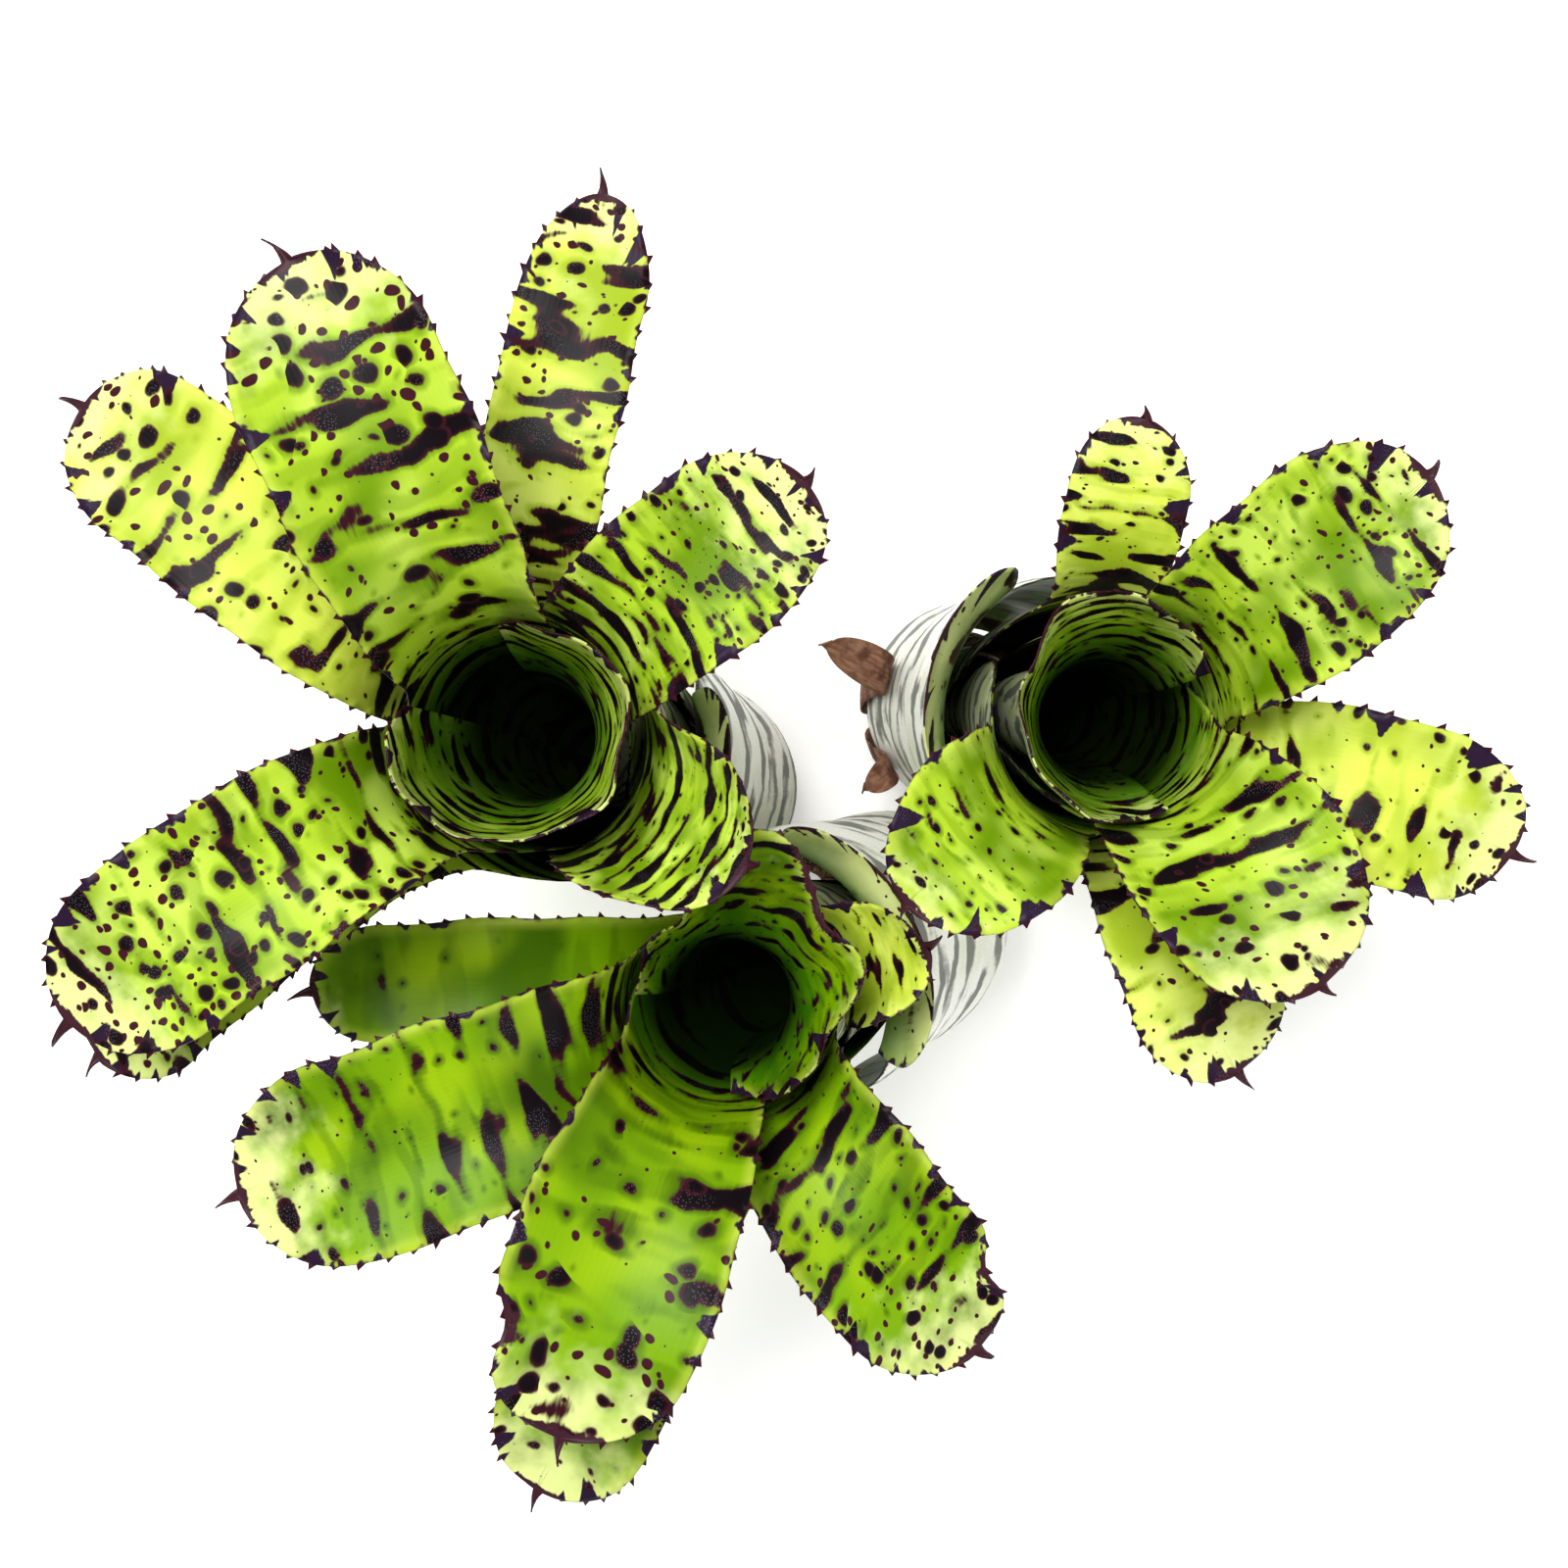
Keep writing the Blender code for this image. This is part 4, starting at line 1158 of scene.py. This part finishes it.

    # Scurf: white specks 0.3 mm across, in drifts, on dark marks. Last, painted shade that sinks
    # the colour to near black down the tube
    specks = add(tree, VORONOI, FLAT_CELLS, {"Vector": place, "Scale": SPECK_CELLS})
    speck = add(tree, RANGE, SMOOTHSTEP, ramp(specks["Distance"], 0.20, 0.12))[0]
    drifts = add(tree, NOISE, None, {"Vector": place, "Scale": 0.13, "Detail": 1.0})["Fac"]
    drifts = add(tree, RANGE, SMOOTHSTEP, ramp(drifts, 0.5, 0.62, 0.2))[0]
    dark = add(tree, MATH, LARGER, (band, wedge))[0]
    dark = add(tree, MATH, LARGER, (dark, spot))[0]
    scurf = add(tree, MATH, TIMES, (speck, drifts))[0]
    scurf = add(tree, MATH, TIMES, (scurf, dark))[0]
    # Painted shade: the tank's near-black laid over the colour deep down the tube
    painted_tank_shade = add(tree, RANGE, SMOOTHSTEP, ramp(depth, 0.30, 0.95, painted_shade_strength))[0]
    base = layer_colours(tree, base, [(scurf, colours.scurf), (painted_tank_shade, colours.tank)])
    tree.links.new(base, shader.inputs["Base Color"])

    rough = add(tree, RANGE, None, ramp(drifts, 0.0, 1.0, 0.52, 0.36))[0]
    rough = add(tree, MATH, TIMES_PLUS, (scurf, 0.3, rough))[0]
    tree.links.new(rough, shader.inputs["Roughness"])
    relief = add(tree, MATH, TIMES_PLUS, (veins, 0.08, streak))[0]
    bump = add(tree, BUMP, None, {"Strength": 0.2, "Distance": RELIEF_DEPTH, "Height": relief})
    tree.links.new(bump["Normal"], shader.inputs["Normal"])
    return finished


def sheath_finish(name, ground, strength):
    """Underside of a bromeliad leaf: pale green under a felt of grey scales.

    The scales make it matt and washed out, with soft charcoal stripes round the tube.
    """
    colours = bpy.context.scene.neoregelia_colours
    finished, tree, shader = new_finish(name, 0.62, 1.42)
    place = add(tree, ATTRIBUTE, {"attribute_name": "leaf_place"})["Vector"]
    margin = add(tree, ATTRIBUTE, {"attribute_name": "leaf_margin"})["Vector"]
    inner = add(tree, SPLIT_VECTOR, None, (margin,))["X"]
    habit = add(tree, ATTRIBUTE, {"attribute_name": "leaf_habit"})["Color"]
    depth = add(tree, SPLIT_COLOUR, None, (habit,))["Blue"]
    top = add(tree, RANGE, SMOOTHSTEP, ramp(depth, 0.7, 0.0, 0.55))[0]
    drift = add(tree, NOISE, None, {"Vector": place, "Scale": 0.12, "Detail": 2.0})["Color"]
    wander = add(tree, VECTOR, TIMES_PLUS, (drift, STRIPE_WANDER, place))[0]
    streak = lengthwise_streaks(tree, place)
    drawn = add(tree, VECTOR, TIMES, (wander, STRIPE_STRETCH))[0]
    field = band_field(tree, drawn, streak, 0.9)
    stripe = add(tree, RANGE, SMOOTHSTEP, ramp(field, 0.55, 0.68, strength))[0]
    patches = add(tree, NOISE, None, {"Vector": place, "Scale": 0.07, "Detail": 3.0})["Fac"]
    patches = add(tree, RANGE, SMOOTHSTEP, ramp(patches, 0.4, 0.65, 0.6))[0]
    scales = add(tree, VORONOI, FLAT_CELLS, {"Vector": place, "Scale": SCALE_CELLS})
    scale = add(tree, RANGE, SMOOTHSTEP, ramp(scales["Distance"], 0.5, 0.1, 0.25))[0]
    dry = add(tree, MATH, TIMES_PLUS, (streak, -2.0, inner))[0]
    dry = add(tree, RANGE, SMOOTHSTEP, ramp(dry, 0.3, -0.6))[0]
    base = layer_colours(tree, (*ground, 1.0), [
        (patches, linear("#DDE2C6")), (top, linear("#8E9F5E")), (stripe, colours.stripe),
        (scale, colours.scurf), (dry, colours.crest)])
    tree.links.new(base, shader.inputs["Base Color"])
    relief = add(tree, MATH, PLUS, (streak, scale))[0]
    bump = add(tree, BUMP, None, {"Strength": 0.2, "Distance": RELIEF_DEPTH, "Height": relief})
    tree.links.new(bump["Normal"], shader.inputs["Normal"])
    return finished


def papery_bract():
    """Dead bract: thin brown paper with fibres along it and darker blotches."""
    colours = bpy.context.scene.neoregelia_colours
    finished, tree, shader = new_finish("papery_dry_bract", 0.75, 1.45)
    place = add(tree, ATTRIBUTE, {"attribute_name": "leaf_place"})["Vector"]
    streak = lengthwise_streaks(tree, place)
    fibre = add(tree, RANGE, SMOOTHSTEP, ramp(streak, 0.35, 0.65))[0]
    blotch = add(tree, NOISE, None, {"Vector": place, "Scale": 0.2, "Detail": 3.0})["Fac"]
    blotch = add(tree, RANGE, SMOOTHSTEP, ramp(blotch, 0.45, 0.65))[0]
    base = layer_colours(tree, (*colours.bract, 1.0), [
        (fibre, linear("#96705A")), (blotch, linear("#55362B"))])
    tree.links.new(base, shader.inputs["Base Color"])
    bump = add(tree, BUMP, None, {"Strength": 0.5, "Distance": 0.2 * MM, "Height": streak})
    tree.links.new(bump["Normal"], shader.inputs["Normal"])
    return finished


def corky_bark():
    """Corky bark of the stems and stolons: dull brown, finely cracked, grey on the ridges."""
    colours = bpy.context.scene.neoregelia_colours
    finished, tree, shader = new_finish("corky_bark", 0.85, 1.45)
    place = add(tree, COORDINATES)["Object"]
    grain = add(tree, NOISE, None, {"Vector": place, "Scale": 900.0, "Detail": 4.0})["Fac"]
    cracks = add(tree, VORONOI, CELL_EDGES, {"Vector": place, "Scale": 520.0})["Distance"]
    crack = add(tree, RANGE, SMOOTHSTEP, ramp(cracks, 0.10, 0.02))[0]
    grey = add(tree, RANGE, SMOOTHSTEP, ramp(grain, 0.5, 0.7, 0.7))[0]
    base = layer_colours(tree, (*colours.bark, 1.0), [
        (grey, linear("#9A8B74")), (crack, linear("#33241A"))])
    tree.links.new(base, shader.inputs["Base Color"])
    relief = add(tree, MATH, MINUS, (grain, crack))[0]
    bump = add(tree, BUMP, None, {"Strength": 0.6, "Distance": 0.3 * MM, "Height": relief})
    tree.links.new(bump["Normal"], shader.inputs["Normal"])
    return finished


def pale_floor():
    """Matt white light table: it glows a little, so that shadows on it stay faint."""
    finished, tree, shader = new_finish("matt_studio_floor", 0.9, 1.45)
    grain = add(tree, NOISE, None, {"Scale": 40.0, "Detail": 2.0})["Fac"]
    faint = add(tree, MATH, TIMES, (grain, 0.04))[0]
    base = layer_colours(tree, (*bpy.context.scene.neoregelia_stage.floor, 1.0),
                         [(faint, linear("#E6E6E2"))])
    tree.links.new(base, shader.inputs["Base Color"])
    shader.inputs["Emission Color"].default_value = (1.0, 1.0, 1.0, 1.0)
    shader.inputs["Emission Strength"].default_value = FLOOR_GLOW
    return finished


# Upper sides of leaves: name, and the deeper and brighter colours of their patches
BLADES = {
    # Living blade in full light: lime, waxy and banded
    "lime": ("lime_leaf_blade", "#608404", "#CAE25E"),
    # Older blade, its green fading to yellow
    "yellow": ("yellow_leaf_blade", "#94AC22", "#E2EE78"),
    # Blade grown in more shade, a fuller green
    "green": ("green_leaf_blade", "#3E6002", "#98B80C"),
    # Inner side of an old sheath: washed-out green, darkened down the tube by painted shade
    "inside": ("pale_sheath_inside", "#5C6A3A", "#D8DEC0"),
}
OTHER_FINISHES = {"bract": papery_bract, "bark": corky_bark, "floor": pale_floor}


def make_finish(key):
    """Leaf sides from their tables, or one of the other finishes."""
    colours = bpy.context.scene.neoregelia_colours
    if key in BLADES:
        name, deep, bright = BLADES[key]
        painted_shade_strength = SHEATH_INSIDE_PAINTED_SHADE if key == "inside" else TANK_PAINTED_SHADE
        return leaf_finish(name, getattr(colours, key), linear(deep), linear(bright), painted_shade_strength)
    # Old outer sheath, almost bleached under its scales; its ground is set still whiter as painted
    # light, standing in for the backlight that blooms on it
    if key == "sheath":
        return sheath_finish("scaly_outer_sheath_painted_light", colours.sheath, 0.85)
    # Underside of a living leaf, greener than the old sheaths
    if key == "under":
        return sheath_finish("scaly_leaf_underside", colours.under, 0.9)
    return OTHER_FINISHES[key]()


MADE = {}


def finish(key):
    """The finish of that name, made the first time it is asked for."""
    if key not in MADE:
        MADE[key] = make_finish(key)
    return MADE[key]


class NEOREGELIA_OT_leaves(bpy.types.Operator):
    """Build the open, toothed leaves of one rosette"""
    bl_idname = "neoregelia.leaves"
    bl_label = "Leaves"

    rosette: bpy.props.EnumProperty(
        name="Rosette", description="Whose leaves to build",
        items=[(key, key.capitalize(), "The " + key + " rosette") for key in ROSETTES])

    def execute(self, context):
        first = NUMBERS_A_ROSETTE * list(ROSETTES).index(self.rosette)
        for number, leaf in enumerate(LEAVES[self.rosette]):
            build_leaf(ROSETTES[self.rosette], leaf, first + number)
        return {"FINISHED"}


class NEOREGELIA_OT_hearts(bpy.types.Operator):
    """Build the rolled innermost leaf of each tube"""
    bl_idname = "neoregelia.hearts"
    bl_label = "Heart leaves"

    def execute(self, context):
        for number, (key, heart) in enumerate(HEARTS.items()):
            build_heart(ROSETTES[key], heart, FIRST_HEART + number)
        return {"FINISHED"}


class NEOREGELIA_OT_sheaths(bpy.types.Operator):
    """Build the old outer sheath of each tube"""
    bl_idname = "neoregelia.sheaths"
    bl_label = "Outer sheaths"

    def execute(self, context):
        for number, (key, leaf) in enumerate(SHEATHS.items()):
            build_leaf(ROSETTES[key], leaf, FIRST_SHEATH + number)
        return {"FINISHED"}


class NEOREGELIA_OT_bracts(bpy.types.Operator):
    """Build the dry bracts at the foot of the right rosette"""
    bl_idname = "neoregelia.bracts"
    bl_label = "Dry bracts"

    def execute(self, context):
        for number, leaf in enumerate(BRACTS):
            build_leaf(ROSETTES["right"], leaf, FIRST_BRACT + number)
        return {"FINISHED"}


class NEOREGELIA_OT_rhizome(bpy.types.Operator):
    """Build the three stems and the stolons that join them"""
    bl_idname = "neoregelia.rhizome"
    bl_label = "Stems and stolons"

    def execute(self, context):
        for key, rosette in ROSETTES.items():
            build_stem(key + "_stem", rosette)
        for name, start, end in STOLONS:
            build_stolon(name, ROSETTES[start], ROSETTES[end])
        return {"FINISHED"}


def add_softbox(name, place, target, size, power):
    """Square area light, aimed at a point and unseen by the camera."""
    lamp = bpy.data.lights.new(name, "AREA")
    lamp.size = size
    lamp.energy = power * bpy.context.scene.neoregelia_stage.light
    light = bpy.data.objects.new(name, lamp)
    light.location = Vector(place)
    light.rotation_euler = (Vector(target) - Vector(place)).to_track_quat("-Z", "Y").to_euler()
    light.visible_camera = False
    bpy.context.scene.collection.objects.link(light)


class NEOREGELIA_OT_stage(bpy.types.Operator):
    """Lay the floor, hang the lights and set the camera straight above the clump"""
    bl_idname = "neoregelia.stage"
    bl_label = "Stage"

    def execute(self, context):
        scene = context.scene
        mesh = bmesh.new()
        bmesh.ops.create_grid(mesh, x_segments=1, y_segments=1, size=FLOOR_HALF)
        bmesh.ops.translate(mesh, verts=mesh.verts, vec=(0.0, 0.0, -FLOOR_DROP))
        data = bpy.data.meshes.new("studio_floor")
        mesh.to_mesh(data)
        mesh.free()
        data.materials.append(finish("floor"))
        floor = bpy.data.objects.new("studio_floor", data)
        scene.collection.objects.link(floor)

        for softbox in SOFTBOXES:
            add_softbox(*softbox)
        world = bpy.data.worlds.new("white_surround")
        world.use_nodes = True
        sky = world.node_tree.nodes["Background"]
        sky.inputs["Color"].default_value = (1.0, 1.0, 1.0, 1.0)
        sky.inputs["Strength"].default_value = SURROUND
        scene.world = world
        scene.view_settings.view_transform = "Standard"

        camera = bpy.data.cameras.new("camera_above")
        camera.lens = CAMERA_LENS
        camera.sensor_width = SENSOR_WIDTH
        camera.clip_start = 0.01
        holder = bpy.data.objects.new("camera_above", camera)
        holder.location = Vector(CAMERA_PLACE) * MM
        scene.collection.objects.link(holder)
        scene.camera = holder
        return {"FINISHED"}


class NEOREGELIA_PT_panel(bpy.types.Panel):
    """Lists the clump's pieces, sizes and colours in the sidebar"""
    bl_idname = "NEOREGELIA_PT_panel"
    bl_label = "Neoregelia"
    bl_space_type = "VIEW_3D"
    bl_region_type = "UI"
    bl_category = "Neoregelia"

    def draw(self, context):
        layout = self.layout
        for group in (context.scene.neoregelia_sizes, context.scene.neoregelia_colours,
                      context.scene.neoregelia_stage):
            column = layout.column(align=True)
            for name in group.bl_rna.properties.keys():
                if name not in ("rna_type", "name"):
                    column.prop(group, name)
        column = layout.column(align=True)
        for key in ROSETTES:
            button = column.operator(NEOREGELIA_OT_leaves.bl_idname, text=key.capitalize())
            button.rosette = key
        for kind in (NEOREGELIA_OT_hearts, NEOREGELIA_OT_sheaths, NEOREGELIA_OT_bracts,
                     NEOREGELIA_OT_rhizome, NEOREGELIA_OT_stage):
            column.operator(kind.bl_idname)


CLASSES = (
    LeafSizes, LeafColours, StageSettings, NEOREGELIA_OT_leaves, NEOREGELIA_OT_hearts,
    NEOREGELIA_OT_sheaths, NEOREGELIA_OT_bracts, NEOREGELIA_OT_rhizome, NEOREGELIA_OT_stage,
    NEOREGELIA_PT_panel,
)


def register():
    for kind in CLASSES:
        bpy.utils.register_class(kind)
    bpy.types.Scene.neoregelia_sizes = bpy.props.PointerProperty(type=LeafSizes)
    bpy.types.Scene.neoregelia_colours = bpy.props.PointerProperty(type=LeafColours)
    bpy.types.Scene.neoregelia_stage = bpy.props.PointerProperty(type=StageSettings)


def unregister():
    del bpy.types.Scene.neoregelia_stage
    del bpy.types.Scene.neoregelia_colours
    del bpy.types.Scene.neoregelia_sizes
    for kind in reversed(CLASSES):
        bpy.utils.unregister_class(kind)


def main():
    register()
    bpy.ops.neoregelia.stage()
    for key in ROSETTES:
        bpy.ops.neoregelia.leaves(rosette=key)
    bpy.ops.neoregelia.hearts()
    bpy.ops.neoregelia.sheaths()
    bpy.ops.neoregelia.bracts()
    bpy.ops.neoregelia.rhizome()


if __name__ == "__main__":
    main()
